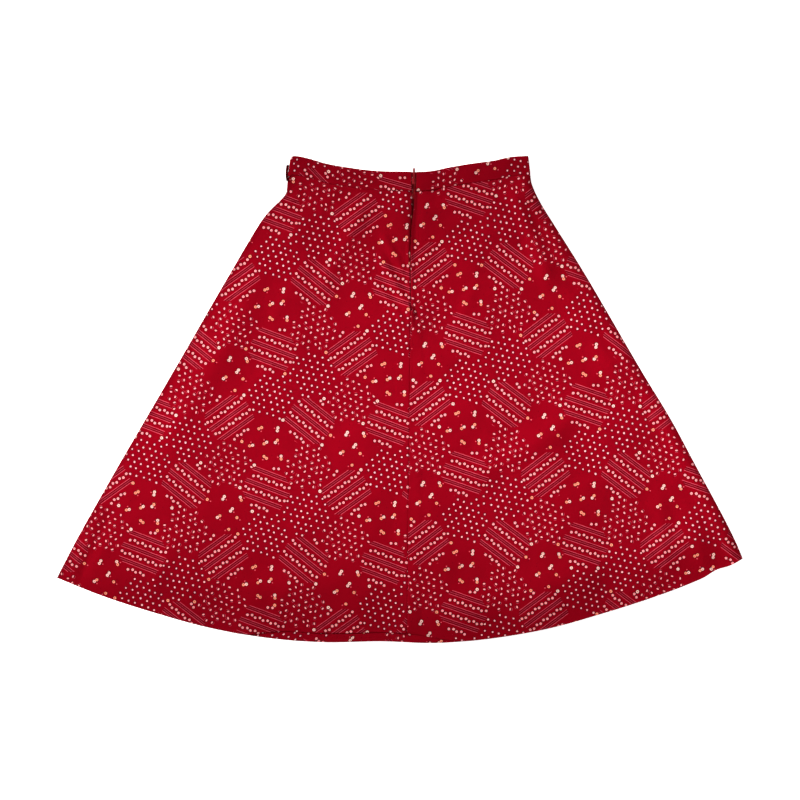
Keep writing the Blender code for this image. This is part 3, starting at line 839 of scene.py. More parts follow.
def stitch_row(line, stitch):
    """Stitches along a line of points, each a thread that dives into the cloth at both ends."""
    travel = travelled(line)
    made = []
    for start in np.arange(0, travel[-1] - stitch.length, stitch.pitch):
        along = start + np.linspace(0, stitch.length, len(STITCH_RISE))
        path = points_at(*(np.interp(along, travel, axis) for axis in line.T))
        path[:, 2] += THREAD * np.array(STITCH_RISE)
        made.append(tube(path, THREAD, THREAD, (0, 0, 1), 5))
    return made


def back_line(x, y, from_seam):
    """Points on the upper face of the back's cloth, away from its edges."""
    z = back_z(x, y, SIDE_SWELL_FADE[0]) + relief(x, y, from_seam) + CLOTH / 2
    return points_at(x, y, z)


def back_stitches(name, panel, side):
    """The row that holds the zip in, and the pricks of the blind hem."""
    seam_x = panel.sides[::side][0]
    y = np.linspace(ZIP_TOP_STITCH, ZIP_END_STITCH, 400)
    slant = np.linspace(ZIP_STITCHES, 1.0, 12)[1:]
    low = ZIP_END_STITCH - (ZIP_STITCHES - slant) * ZIP_STITCHES_SLANT
    from_seam = np.concatenate([np.full(len(y), ZIP_STITCHES), slant])
    y = np.concatenate([y, low])
    made = stitch_row(back_line(seam_x(y) + side * from_seam, y, from_seam), ZIP_STITCH)
    down = 1 - HEM_DEPTH / panel.length(0.5)
    first, last = (panel.edge(which, down)[0] for which in (0, 1))
    for start in np.arange(first + HEM_PRICKS_END, last - HEM_PRICKS_END, HEM_PRICK.pitch):
        x = start + np.linspace(0, HEM_PRICK.length + 0.1, 4)
        y = back_hem_y(x) + HEM_PRICKS_RISE
        made += stitch_row(back_line(x, y, np.abs(x - seam_x(y))), HEM_PRICK)
    return joined(name, made, thread)


def painted_shade_at(away, kind):
    """How much painted shade darkens the cloth this far from a seam or an edge."""
    return kind.depth * bell(away, kind.reach)


def make_back(name, node, panel, way, side):
    """Half of the back. side is -1 for the left half and 1 for the right one."""
    seam_x, side_x = panel.sides[::side]

    def to_side(across):
        """The share of the width from the side seam."""
        return across if side < 0 else 1 - across

    def height(x, y, across, down, folded):
        width = panel.width(down)
        from_side, from_seam = to_side(across) * width, (1 - to_side(across)) * width
        flat = back_z(x, y, from_side) + relief(x, y, from_seam)
        if not folded:
            flat += ditch(from_seam) + BAND_DITCH * ditch(seam_y(x) - y)
        edge = SEAM_Z + SEAM_OPEN + CORNER_LIFT * ease(CORNER_OPEN, 0, y - panel.hem_y(x))
        return blend(edge, flat, rolled(from_side))

    def columns(width):
        return stations(EDGE_STEPS, BACK_COLUMNS, EDGE_STEPS, width)

    downs = stations(EDGE_STEPS, BACK_ROWS, HEM_STEPS, panel.length(1 - to_side(0.0)))[0]
    points, flat = hemmed_panel(panel, columns, downs, height, -1)
    x, y = flat[..., 0], flat[..., 1]
    # painted shade beside the open zip, along the centre seam and at the side edge
    soil = painted_shade_at(x - seam_x(y), ZIP_PAINTED_SHADE) * ease(*ZIP_PAINTED_SHADE_END, y)
    soil += painted_shade_at(x - seam_x(y), SEAM_PAINTED_SHADE) + painted_shade_at(x - side_x(y), SIDE_PAINTED_SHADE)
    obj = cloth_sheet(name, points, flat, way, CLOTH, calico, soil)
    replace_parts(obj, node)
    stitches = back_stitches(name.replace("panel", "stitches"), panel, side)
    declare_cut(flat)


# Waistband


def band_section():
    """Round the band from its outer face's lower edge to its inner one's: drop and offset."""
    face = np.concatenate([steps(0.2, 1.5, 3.0), np.linspace(4.5, BAND_HEIGHT / 2, 6)])
    face = np.concatenate([face, BAND_HEIGHT - face[-2::-1]])[:-1] + BAND_TOP_INSET
    thick = quarter(face, BAND_CLOTH / 2) * quarter(BAND_HEIGHT - face, BAND_CLOTH / 2)
    offset = BAND_CLOTH / 2 * thick + BAND_PILLOW * np.sin(math.pi * face / BAND_HEIGHT)
    outer, inner = points_at(face, offset)[::-1], points_at(face, -offset)
    return np.concatenate([outer, [[0.0, 0.0]], inner])


def band_grid():
    """Points round each line of the band's section, and where they are on its flat strip.

    They go from the left of the zip round the front to its right.
    """
    radius = (BAND_BACK_Z - BAND_FRONT_Z) / 2
    middle = (BAND_BACK_Z + BAND_FRONT_Z) / 2
    turn = BAND_CLOTH / 2 + radius
    over_tape = ZIP_HIGH_Z + TAPE_CLOTH + GAP + BAND_CLOTH / 2
    near = steps(0.15, 1.5, 5.0)
    back = stations(near, BAND_BACK_COLUMNS, near[:3], BAND_BACK_LENGTH)[0]
    front = np.linspace(0, 1, BAND_FRONT_COLUMNS)
    around = np.radians(np.linspace(90, 270, 13))[1:-1]
    upwards, downwards = np.full(len(back), math.pi / 2), np.full(len(front), math.pi * 3 / 2)
    lean = np.concatenate([upwards, around, downwards, around + math.pi, upwards + 2 * math.pi])
    order = np.arange(len(lean))
    from_end = np.interp(np.minimum(order, order[::-1]), np.arange(len(near)), near)
    rounded = quarter(from_end, BAND_CLOTH / 2)
    section = band_section()
    points, flat, length = [], [], None
    for (drop, offset), run in zip(section, travelled(section)):
        down = drop / BAND_HEIGHT
        cut_off = math.sqrt(1 - max(0, 1 - drop / BAND_CORNER) ** 2)
        left = blend(*BAND_LEFT, down) + turn + BAND_CORNER * (1 - cut_off)
        right = blend(*BAND_RIGHT, down) - turn
        zip_y = waist_y(zip_x(ZIP_LEVEL)) - drop
        flat_x = np.concatenate([
            blend(centre_left_x(zip_y), left, back),
            np.full(len(around), left),
            blend(left, right, front),
            np.full(len(around), right),
            blend(right, centre_right_x(zip_y), 1 - back[::-1]),
        ])
        x, y = flat_x + radius * np.cos(lean), waist_y(flat_x) - drop
        on_tapes = ease(*ZIP_SWELL[::-1], np.abs(x - zip_x(y))) * (np.sin(lean) > 0)
        z = middle + radius * np.sin(lean) + (over_tape - BAND_BACK_Z) * on_tapes
        wave = sum(ripple(flat_x, drop, kind) for kind in BAND_WAVES)
        thick = (offset + wave * np.sin(math.pi * down)) * rounded
        z = np.maximum(z + thick * np.sin(lean), 0)
        if length is None:
            length = travelled(points_at(x, y, z))
        points.append(points_at(x + thick * np.cos(lean), y, z))
        flat.append(points_at(-length, run))
    return np.array(points), np.array(flat)


def make_waistband():
    """One strip, closed at both ends."""
    points, flat = band_grid()
    solid, faces = capped(points)
    cut = lay(flat, LAYS["band"]).reshape(-1, 2)
    obj = mesh_object("waistband_strip", solid, faces, band_calico, cut=cut)
    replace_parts(obj, "waistband")
    outer = flat[: len(flat) // 2 + 1]
    declare_cut(outer)


# Zip


def make_zip_tapes():
    """Two flat strips, which come to within a few millimetres of each other."""
    y = np.linspace(TAPE_TOP, TAPE_END, TAPE_ROWS)[:, None]
    for name, node, side in (
        ("left_zip_tape", "zip_tape_left", -1),
        ("right_zip_tape", "zip_tape_right", 1),
    ):
        between = np.linspace(*TAPE_MIDDLE, TAPE_COLUMNS)
        aside = side * np.concatenate([[TAPE_INNER], between, [TAPE_OUTER]])
        flat = points_at(aside, y)
        points = points_at(zip_x(y) + aside, y, zip_z(y) + TAPE_CLOTH / 2)
        obj = cloth_sheet(name, points, flat, LAYS["tape"], TAPE_CLOTH, tape_weave)
        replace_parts(obj, node)
        declare_cut(flat)


def make_zip_coil():
    """Two spirals of nylon, each of whose turns lies between two of the other's."""
    turns = int((COIL_TOP - COIL_END) / COIL_PITCH) - 1
    angle = np.arange(turns * COIL_SIDES) * (2 * math.pi / COIL_SIDES)
    reach = (COIL_WIDTH / 2 + COIL_LAP) / 2 - COIL_WIRE / 2
    middle = COIL_WIDTH / 2 - COIL_WIRE / 2 - reach
    made = []
    for side in (-1, 1):
        y = COIL_TOP - COIL_WIRE - COIL_PITCH * (angle / (2 * math.pi) + (side > 0) / 2)
        x = zip_x(y) + side * (middle - reach * np.cos(angle))
        z = zip_z(y) + COIL_THICK / 2 + (COIL_THICK - COIL_WIRE) / 2 * np.sin(angle)
        made.append(tube(points_at(x, y, z), COIL_WIRE, COIL_WIRE, (0, 1, 0), 6))
    coil = joined("zip_coil_spirals", made, nylon)
    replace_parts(coil, "zip_coil")


def pivot():
    """The middle of the pull tab's axis."""
    upper = ZIP_HIGH_Z + COIL_THICK + PLATE_PLAY + PLATE
    return np.array((zip_x(SLIDER_Y), SLIDER_Y, upper + PIVOT_RISE))


def slider_outline():
    """Round a plate of the slider: wide at its shoulders, where the two halves part."""
    half = np.array((SLIDER_WIDTH, SLIDER_LENGTH)) / 2
    right = half * SLIDER_CORNERS
    return np.concatenate([right, right[::-1] * (-1, 1)])


def make_slider():
    """Two plates joined by a post, with rims along the upper one and an arch for the tab."""
    x, y, z = pivot()
    top = z - PIVOT_RISE
    low_top = ZIP_HIGH_Z - PLATE_PLAY
    outline = slider_outline() + (x, y)
    made = [slab(outline, level - PLATE, level, PLATE_SOFT) for level in (top, low_top)]
    post = np.array(POST) + (x, y + SLIDER_LENGTH / 2 - POST_INSET)
    made.append(slab(post, low_top - PLATE / 2, top - PLATE / 2, POST_SOFT))
    along = np.linspace(*RIM_ENDS, 9) * SLIDER_LENGTH / 2
    for side in (-1, 1):
        across = side * np.interp(along, RIM_ALONG, RIM_ACROSS)
        rim = points_at(x + across, y + along, top - PLATE - SINK)
        made.append(tube(rim, *RIM_SIZE, (1, 0, 0)))
    angle = np.linspace(0, math.pi, 25)
    reach = (ARCH_LENGTH - ARCH_THICK) / 2
    away = -np.sign(np.cos(angle)) * np.abs(np.cos(angle)) ** ARCH_SQUARE * reach
    up = np.sin(angle) ** ARCH_SQUARE * (2 * PIVOT_RISE + ARCH_THICK / 2) - SINK
    arch = points_at(x, y + away, top + up)
    made.append(tube(arch, ARCH_WIDTH, ARCH_THICK, (1, 0, 0), 12))
    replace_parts(joined("zip_slider_body", made, enamel), "zip_slider")


def make_pull_tab():
    """A flat tab with a domed face, whose eye's bar lies under the slider's arch."""
    x, y, z = pivot()
    half, back = TAB_WIDTH / 2, TAB_THICK / 2
    tip = np.radians(np.linspace(0, 180, 17))
    outline = [(half, along) for along in TAB_SIDE]
    outline += [(half * math.cos(a), TAB_LENGTH - half + half * math.sin(a)) for a in tip]
    outline += [(-half, along) for along in TAB_SIDE[::-1]]
    made = [slab(np.array(outline) + (x, y), z - back, z + back, TAB_SOFT)]
    rail = half - TAB_RAIL / 2
    corner = np.radians(np.linspace(180, 270, 6))
    across, along = EYE_CORNER * (1 + np.cos(corner)) - rail, EYE_CORNER * (1 + np.sin(corner))
    eye = [*((-rail, side) for side in EYE_SIDE), *zip(across, along)]
    eye += [(-EYE_BAR, 0.0), *((-across, along) for across, along in eye[::-1])]
    path = [(x + across, y + along, z) for across, along in eye]
    made.append(tube(path, TAB_THICK, TAB_RAIL, (0, 0, 1), 10))
    ridge = points_at(x, y + np.linspace(*RIDGE_ENDS, 12), z + back - RIDGE_SINK)
    made.append(tube(ridge, *RIDGE_SIZE, (1, 0, 0)))
    tab = joined("zip_pull_tab_plate", made, enamel, "pull_tab")
    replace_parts(tab, "zip_pull_tab")


# Belt loop


def loop_section():
    """Across the loop's strip, which is folded in three: along its width and out through it."""
    half = LOOP_WIDTH / 2 - LOOP_PLY
    turn = np.radians(np.linspace(-90, 90, 7))
    right = [(half + LOOP_PLY / 2 * math.cos(a), LOOP_PLY / 2 * (1 + math.sin(a))) for a in turn]
    left = [(-half - LOOP_PLY * math.cos(a), -LOOP_PLY * math.sin(a)) for a in turn]
    inside = [(across, 0.0) for across in np.linspace(LOOP_LAP - half, half, 6)[:-1]]
    outside = [(across, LOOP_PLY) for across in np.linspace(half, -half, 6)[1:-1]]
    under = [(across, -LOOP_PLY) for across in np.linspace(-half, half, 6)[1:]]
    return np.array(inside + right + outside + left + under)


def loop_edges(share):
    """The belt loop's low and high edge at shares of its length."""
    y = blend(LOOP_TOP, LOOP_BOTTOM, share)
    band_x = np.minimum(np.interp(y, LOOP_SEAT_Y, LOOP_SEAT_X), left_side_x(y))
    low_x = band_x + blend(*LOOP_LOW_X, share)
    high_x = band_x - blend(*LOOP_HIGH_X, share)
    high_x -= LOOP_BOW * np.sin(math.pi * np.clip(share, 0, 1))
    return points_at(low_x, y, LOOP_LOW_Z), points_at(high_x, y, LOOP_HIGH_Z)


def loop_place(share, across, out):
    """A point on the belt loop, from shares of its length and distances over its width."""
    low, high = loop_edges(share)
    ahead, behind = (sum(loop_edges(share + step)) / 2 for step in (0.01, -0.01))
    up = unit(high - low)
    through = unit(np.cross(up, ahead - behind))
    return (low + high) / 2 + up * across[..., None] + through * out[..., None]


def make_belt_loop():
    """A folded strip that stands on its edge beside the waistband, with a tack at both ends."""
    section = loop_section()
    share = np.linspace(0, 1, LOOP_ROWS)[:, None]
    points = loop_place(*np.broadcast_arrays(share, *section.T))
    flat = points_at(travelled(section), share * (LOOP_TOP - LOOP_BOTTOM))
    obj = cloth_sheet("belt_loop_strip", points, flat, LAYS["loop"], LOOP_CLOTH, loop_calico)
    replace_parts(obj, "belt_loop")
    number = np.arange(TACK_TURNS)
    across = (number % 2 - 0.5) * TACK_WIDTH
    out = np.full(len(number), LOOP_PLY + LOOP_CLOTH / 2 + THREAD / 4)
    tacks = []
    for middle in TACK_PLACES:
        place = middle + (number / (TACK_TURNS - 1) - 0.5) * TACK_LENGTH
        for side in (-1, 1):
            path = loop_place(place, across, side * out)
            tacks.append(tube(path, THREAD, THREAD, TACK_ASIDE, 5))
    tacks = joined("belt_loop_tacks", tacks, thread)
    declare_cut(flat)


# Materials

RED = display(145, 2, 20)
DARK_RED = display(84, 1, 14)
PLUM = display(50, 2, 18)
PALE_PINK = display(255, 172, 174)
PINK = display(255, 154, 155)
ROSE = display(232, 82, 102)
DULL_ROSE = display(206, 62, 78)
BERRY_RED = display(224, 80, 94)
WHITE = display(255, 196, 184)
ORANGE = display(255, 146, 118)
BROWN = display(150, 36, 30)
SMALL_EYE = display(196, 60, 74)
BLACK = display(0, 0, 0)
TAPE_DARK = display(70, 3, 11)
TAPE_RED = display(106, 6, 19)
NYLON_DARK = display(138, 6, 14)
NYLON_RED = display(168, 18, 26)
MAROON = display(122, 8, 16)
WORN_MAROON = display(152, 22, 30)
BARE_METAL = display(168, 150, 144)
SCRATCH = display(150, 84, 88)
THREAD_DARK = display(96, 2, 15)
THREAD_RED = display(146, 5, 25)


def summing(operation, swapped=False):
    """A method that adds a node of an operation on a wire and the method's values."""

    def method(self, *others):
        values = (*others, self) if swapped else (self, *others)
        return self.sum(operation, *values)

    return method


class Wire:
    """An output of a material's node. Sums on it add Math nodes, or Vector Math for vectors."""

    __add__, __radd__ = summing("ADD"), summing("ADD", swapped=True)
    __sub__, __rsub__ = summing("SUBTRACT"), summing("SUBTRACT", swapped=True)
    __mul__ = summing("MULTIPLY")
    __truediv__ = summing("DIVIDE")
    __mod__ = summing("FLOORED_MODULO")
    __lt__ = summing("LESS_THAN")
    __gt__ = summing("GREATER_THAN")
    __abs__ = summing("ABSOLUTE")
    round = summing("ROUND")
    floor = summing("FLOOR")
    sign = summing("SIGN")
    sine = summing("SINE")
    bearing = summing("ARCTAN2")
    larger = summing("MAXIMUM")
    length = summing("LENGTH")
    dot = summing("DOT_PRODUCT")

    def __init__(self, paint, socket):
        self.paint, self.socket = paint, socket

    def sum(self, operation, *values, clamp=False):
        wires = [value for value in values if isinstance(value, Wire)]
        if any(wire.socket.type != "VALUE" for wire in wires):
            output = 1 if operation in ("DOT_PRODUCT", "LENGTH") else 0
            return self.paint.node("VectorMath", {"operation": operation}, values, output)
        settings = {"operation": operation, "use_clamp": clamp}
        return self.paint.node("Math", settings, values)

    def clamped(self):
        return self.sum("ADD", self, 0.0, clamp=True)

    def wrapped(self, wide, tall):
        """The same place in a cell of a lattice, from the cell's middle."""
        high = (wide / 2, tall / 2, 1.0)
        return self.sum("WRAP", self, high, tuple(-value for value in high))

    def turned(self, angle):
        """A vector turned in its plane by an angle in radians."""
        inputs = {"Vector": self, "Angle": angle}
        return self.paint.node("VectorRotate", {"rotation_type": "Z_AXIS"}, inputs)

    def parts(self):
        return [self.paint.node("SeparateXYZ", {}, (self,), axis) for axis in (0, 1, 2)]


class Paint:
    """A material and the nodes that are added to it."""

    def __init__(self, name, settings):
        self.material = bpy.data.materials.new(name)
        self.material.use_nodes = True
        self.nodes = self.material.node_tree.nodes
        self.links = self.material.node_tree.links
        for socket, value in settings.items():
            self.feed(socket, value)

    def feed(self, socket, value):
        """Sets a socket of the surface, or links it to a wire."""
        self.fill(self.nodes["Principled BSDF"].inputs[socket], value)

    def fill(self, socket, value):
        if isinstance(value, Wire):
            self.links.new(value.socket, socket)
        elif hasattr(socket.default_value, "__len__") and not hasattr(value, "__len__"):
            socket.default_value = [value] * len(socket.default_value)
        else:
            socket.default_value = value

    def node(self, kind, settings, inputs, output=0):
        """A node of any kind, with its settings made first, then its sockets filled."""
        made = self.nodes.new("ShaderNode" + kind)
        for setting, value in settings.items():
            setattr(made, setting, value)
        pairs = inputs.items() if isinstance(inputs, dict) else enumerate(inputs)
        for key, value in pairs:
            self.fill(made.inputs[key], value)
        return Wire(self, made.outputs[output])

    def cut_place(self):
        """The place on the printed cloth or the tape, in millimetres."""
        return self.node("UVMap", {"uv_map": "cut"}, ()) * (1 / MM, 1 / MM, 0.0)

    def place(self):
        """The place in the object, in millimetres."""
        return self.node("TexCoord", {}, (), 3) * (1 / MM)

    def vector(self, x, y):
        return self.node("CombineXYZ", {}, (x, y))

    def mix(self, first, second, share):
        """One colour over another."""
        settings = {"data_type": "RGBA"}
        return self.node("Mix", settings, {0: share, 6: first, 7: second}, 2)

    def either(self, first, second, share):
        """One vector or the other."""
        settings = {"data_type": "VECTOR"}
        return self.node("Mix", settings, {0: share, 4: first, 5: second}, 1)

    def chart(self, rows, share):
        """One of several rows of four values: the first three as a vector, and the last."""
        picked = self.node("ValToRGB", {}, (share,))
        ramp = picked.socket.node.color_ramp
        ramp.interpolation = "CONSTANT"
        ramp.elements.remove(ramp.elements[1])
        ramp.elements[0].color = rows[0]
        for index, row in enumerate(rows[1:], 1):
            ramp.elements.new(index / len(rows)).color = row
        return picked, Wire(self, picked.socket.node.outputs[1])

    def cells(self, place, pitch, randomness):
        """Scattered points about a pitch apart: the nearest one's place, and three numbers."""
        settings = {"voronoi_dimensions": "2D"}
        inputs = {"Vector": place, "Scale": 1 / pitch, "Randomness": randomness}
        nearest = self.node("TexVoronoi", settings, inputs, 2)
        colour = Wire(self, nearest.socket.node.outputs[1])
        return nearest, colour.parts()

    def noise(self, place, size, detail=2.0):
        """A soft random value from 0 to 1, whose spots are about a size across."""
        inputs = {"Vector": place, "Scale": 1 / size, "Detail": detail}
        return self.node("TexNoise", {}, inputs)

    def finish(self, height, distance, colour, roughness=None):
        """Gives the surface its relief and colour, and says which material it is."""
        bump = self.node("Bump", {}, {"Height": height, "Distance": distance * MM})
        self.feed("Normal", bump)
        self.feed("Base Color", colour)
        if roughness is not None:
            self.feed("Roughness", roughness)
        return self.material


def ribbed(along, pitch):
    """Even waves from 0 to 1."""
    return (along * (2 * math.pi / pitch)).sine() * 0.5 + 0.5


def disc(distance, radius):
    """1 inside a radius and 0 outside it."""
    return ((radius - distance) / INK_EDGE + 0.5).clamped()


def flower_discs(away, flower, shown):
    """A flower's petals, its eye and the dark round it, from the place beside its middle."""
    x, y, _ = away.parts()
    lobes = (y.bearing(x) * float(flower.petals)).sine() * PETAL_DEPTH
    distance = away.length() * (1 + lobes)
    return [disc(distance, radius) * shown for radius in (flower.radius, flower.eye, flower.halo)]


def in_patch(place, margin):
    """1 where a place in a patch is clear of its six sides by a margin, and of its corners."""
    x, y, _ = place.parts()
    x, y = abs(x), abs(y)
    to_side = y.larger(x * SLANT + y * 0.5)
    to_corner = x.larger(x * 0.5 + y * SLANT)
    return (to_side < PATCH / 2 - margin) * (to_corner < PATCH_CORNER - margin - CORNER_MARGIN)


def spots(paint, local, angle, shift, leaves, inside_dots):
    """Round dots, or oval ones with a curved leaf beside each: their masks over a patch."""
    place = local.turned(angle) + shift
    x, y, _ = place.parts()
    leaning = paint.vector(x - y * (0.5 / SLANT), y * (1 / SLANT))
    nearest, (pick, _, size) = paint.cells(leaning, DOT_PITCH, DOT_SCATTER)
    x, y, _ = nearest.parts()
    nearest = paint.vector(x + y * 0.5, y * SLANT)
    inside = in_patch((nearest - shift).turned(0.0 - angle), DOT_MARGIN) * inside_dots
    away = (place - nearest).turned(pick * (2 * math.pi))
    x, y, _ = away.parts()
    distance = away.length()
    long_way = paint.vector(x * OVAL[0], y * OVAL[1]).length()
    dot = disc(distance, DOT_RADIUS + size * DOT_GROWTH) * (1 - leaves)
    dot = dot + disc(long_way, OVAL_RADIUS) * leaves
    halo = disc(distance, DOT_HALO)
    beside = (x > distance * LEAF_SPREAD) * (size > NO_LEAF) * leaves
    leaf, shade = (disc(abs(distance - reach), half) * beside for reach, half in LEAF_ARCS)
    return [mask * inside for mask in (dot, halo, leaf, shade)]


def flower_pairs(paint, local, angle, shift, pairs):
    """Two flowers that touch, with a berry and a dark leaf beside them."""
    place = local.turned(angle) + shift
    nearest, (pick, kind, single) = paint.cells(place, PAIR_PITCH, PAIR_SCATTER)
    inside = in_patch((nearest - shift).turned(0.0 - angle), PAIR_MARGIN) * pairs
    away = (place - nearest).turned(pick * (2 * math.pi))
    x, y, _ = away.parts()
    alone = single < LONE
    second = x > 0.0
    masks = flower_discs(paint.vector(abs(x) - PAIR_REACH, y), PAIR_FLOWER, 1 - alone * second)
    masks += [disc((away - middle).length(), radius) for middle, radius in (BERRY, DARK_LEAF)]
    first_orange = (kind > FIRST_ORANGE[0]) * (kind < FIRST_ORANGE[1])
    second_orange = (kind > SECOND_ORANGE) * second
    orange = (first_orange * (1 - second) + second_orange + alone).clamped()
    return [mask * inside for mask in masks] + [orange]


def flower_rows(paint, local, angle, stripes):
    """Rows of small flowers set zigzag, with three fine lines between one row and the next."""
    along, across, _ = local.turned(angle).parts()
    row = ((across - ROW_START) / ROW_PITCH).round() * ROW_PITCH + ROW_START
    number = (along / ROW_FLOWER_PITCH).round()
    zigzag = number % 2.0 * (2 * ZIGZAG) - ZIGZAG
    flower_along = number * ROW_FLOWER_PITCH + zigzag * ZIGZAG_ALONG
    away = paint.vector(along - flower_along, across - row - zigzag)
    centre = paint.vector(flower_along, row).turned(0.0 - angle)
    masks = flower_discs(away, ROW_FLOWER, in_patch(centre, ROW_MARGIN) * stripes)
    from_middle = ROW_PITCH / 2 - abs(across - row)
    between = in_patch(local, LINE_MARGIN) * stripes
    outer_line = disc(abs(from_middle - LINE_PITCH), LINE_HALF)
    line = (outer_line + disc(from_middle, MIDDLE_LINE_HALF) * 0.55) * between
    return masks + [line, disc(from_middle, LINE_PITCH) * between]


def corner_flowers(paint, local, cut):
    """A single flower at some of the corners where three patches meet."""
    x, y, _ = local.parts()
    across, along = abs(x), abs(y)
    slant = across * 0.5 + along * SLANT > across
    corner_x = x.sign() * (PATCH_CORNER - slant * (PATCH_CORNER / 2))
    corner = paint.vector(corner_x, y.sign() * slant * (PATCH / 2))
    place = (cut - local + corner) * (2 / PATCH_CORNER, 2 / PATCH, 0.0) + (0.5, 0.5, 0.5)
    settings = {"noise_dimensions": "2D"}
    chance = paint.node("TexWhiteNoise", settings, {"Vector": place.floor()})
    masks = flower_discs(local - corner, CORNER_FLOWER, chance < CORNERS)
    return masks + [chance < ORANGE_CORNERS]


def weave(paint, cut):
    """Plain weave: threads over and under each other, as a height from 0 to 1."""
    wander = paint.noise(cut, 5.0, 1.0) * 1.5
    across, along, _ = (cut * (2 * math.pi / THREAD_PITCH)).parts()
    across, along = across + wander, along + wander
    crossing = across.sine() * (along * 0.5).sine() + along.sine() * (across * 0.5).sine()
    return crossing * 0.25 + 0.5


def patch_at(paint, cut):
    """The place in its patch of a point on the cloth, and the patch's number."""
    wide, tall = PATCH * math.sqrt(3), PATCH
    even = cut.wrapped(wide, tall)
    odd = (cut - (wide / 2, tall / 2, 0.0)).wrapped(wide, tall)
    local = paint.either(even, odd, odd.dot(odd) < even.dot(even))
    centre_x, centre_y, _ = (cut - local).parts()
    column = (centre_x / (wide / 2)).round()
    row = (centre_y / tall - column * 0.5).round()
    return local, column % 3.0 * 3 + row % 3.0


def patch_motif(paint, number):
    """1 for the motif of a numbered patch and 0 for the others, and the angle it lies at."""
    rows = [
        (*(float(patch.motif == kind) for kind in MOTIFS), (90 - patch.slope) / 180)
        for patch in PATCHES
    ]
    chart, slope = paint.chart(rows, (number + 0.5) / len(rows))
    return (*chart.parts(), slope * math.pi - math.pi / 2)


def printed(paint, cut):
    """The print's inks over its red ground."""
    local, number = patch_at(paint, cut)
    stripes, pairs, leaves, angle = patch_motif(paint, number)
    shift = paint.vector(*(number * step for step in PATCH_SHIFT))
    dots = 1 - stripes - pairs
    dot, dot_halo, leaf, leaf_shade = spots(paint, local, angle, shift, leaves, dots)
    flower, eye, halo, berry, dark_leaf, orange = flower_pairs(paint, local, angle, shift, pairs)
    small, small_eye, small_halo, line, band = flower_rows(paint, local, angle, stripes)
    lone, lone_eye, lone_halo, lone_orange = corner_flowers(paint, local, cut)
    mottle = paint.noise(cut, 60.0, 3.0) * 0.16 + paint.noise(cut, 1.6, 1.0) * 0.14
    colour = paint.mix(RED, DARK_RED, (mottle - 0.02).clamped())
    fleck_place, (fleck, _, _) = paint.cells(cut, FLECK_PITCH, 1.0)
    speck = disc((cut - fleck_place).length(), FLECK_RADIUS) * (fleck < FLECKS) * 0.5
    for ink, mask in (
        (PLUM, speck * (1 - stripes)),
        (DARK_RED, dot_halo.larger(halo).larger(small_halo).larger(lone_halo)),
        (DARK_RED, band * 0.6),
        (ROSE, line * 0.95),
        (PLUM, leaf_shade.larger(dark_leaf) * 0.8),
        (DULL_ROSE, leaf),
        (BERRY_RED, berry),
        (paint.mix(PALE_PINK, PINK, leaves), dot),
        (PINK, small),
        (SMALL_EYE, small_eye * 0.55),
        (paint.mix(WHITE, ORANGE, orange), flower),
        (paint.mix(WHITE, ORANGE, lone_orange), lone),
        (BROWN, eye.larger(lone_eye) * 0.85),
    ):
        colour = paint.mix(colour, ink, mask)
    return colour


def make_calico(name, shade):
    """Red cotton printed all over with patches of small motifs."""
    sheen = {"Sheen Weight": 0.06, "Sheen Roughness": 0.5, "Sheen Tint": display(255, 60, 90)}
    paint = Paint(name, {**sheen, "Specular IOR Level": 0.008})
    cut = paint.cut_place()
    threads = weave(paint, cut)
    wander = paint.node("TexNoise", {}, {"Vector": cut, "Scale": 0.8}, 1)
    cut = cut + (wander - (0.5, 0.5, 0.5)) * (RAGGED, RAGGED, 0.0)
    # painted shade, from the attribute that the back panels carry
    soil = paint.node("Attribute", {"attribute_name": "soil"}, (), 2) * PAINTED_SHADE_STRENGTH
    # painted shade: the weave darkened where its threads dip, and the whole cloth darkened where
    # shade is below 1
    shadow = (1 - threads) * 0.12 + soil + (1 - shade)
    colour = paint.mix(printed(paint, cut), BLACK, shadow)
    relief_height = threads + paint.noise(cut, 3.0) * 0.8
    return paint.finish(relief_height, 0.09, colour, 0.76 + threads * 0.12)


def make_tape_weave():
    """A herringbone tape: slanted ribs whose slant changes from stripe to stripe."""
    paint = Paint("zip_tape_weave", {"Sheen Weight": 0.05})
    cut = paint.cut_place()
    across, along, _ = cut.parts()
    ribs = ribbed(along + abs(across % RIB_STRIPES - RIB_STRIPES / 2), RIB_PITCH)
    fuzz = paint.noise(cut, 0.9, 3.0)
    colour = paint.mix(TAPE_DARK, TAPE_RED, ribs * 0.6 + fuzz * 0.3)
    return paint.finish(ribs + fuzz * 0.6, 0.12, colour, 0.74 + fuzz * 0.15)


def make_nylon():
    """Dark red nylon, streaked along the zip."""
    paint = Paint("zip_coil_nylon", {"Specular IOR Level": 0.12})
    place = paint.place()
    haze = paint.noise(place, 4.0, 3.0)
    draw = paint.noise(place * (6.0, 0.6, 6.0), 1.0, 2.0)
    return paint.finish(draw, 0.03, paint.mix(NYLON_DARK, NYLON_RED, haze), 0.34 + haze * 0.2)


def make_enamel():
    """Maroon enamel, dulled and scratched by handling and worn to the metal in specks."""
    paint = Paint("maroon_enamel", {"Coat Roughness": 0.4, "Specular IOR Level": 0.08})
    place = paint.place()
    haze = paint.noise(place, 2.6, 4.0)
    chips = ((paint.noise(place, 0.7, 4.0) - 0.68) * 14.0).clamped()
    scratches = ((paint.noise(place * (3.0, 0.35, 3.0), 0.6, 2.0) - 0.62) * 8.0).clamped()
    colour = paint.mix(paint.mix(MAROON, WORN_MAROON, haze), BARE_METAL, chips * 0.8)
    colour = paint.mix(colour, SCRATCH, scratches * 0.35)
    paint.feed("Metallic", chips * 0.8)
    paint.feed("Coat Weight", 0.06 - chips * 0.05)
    height = haze * 0.6 - chips * 0.8 - scratches * 0.4
    return paint.finish(height, 0.05, colour, 0.46 + haze * 0.18 + scratches * 0.2)


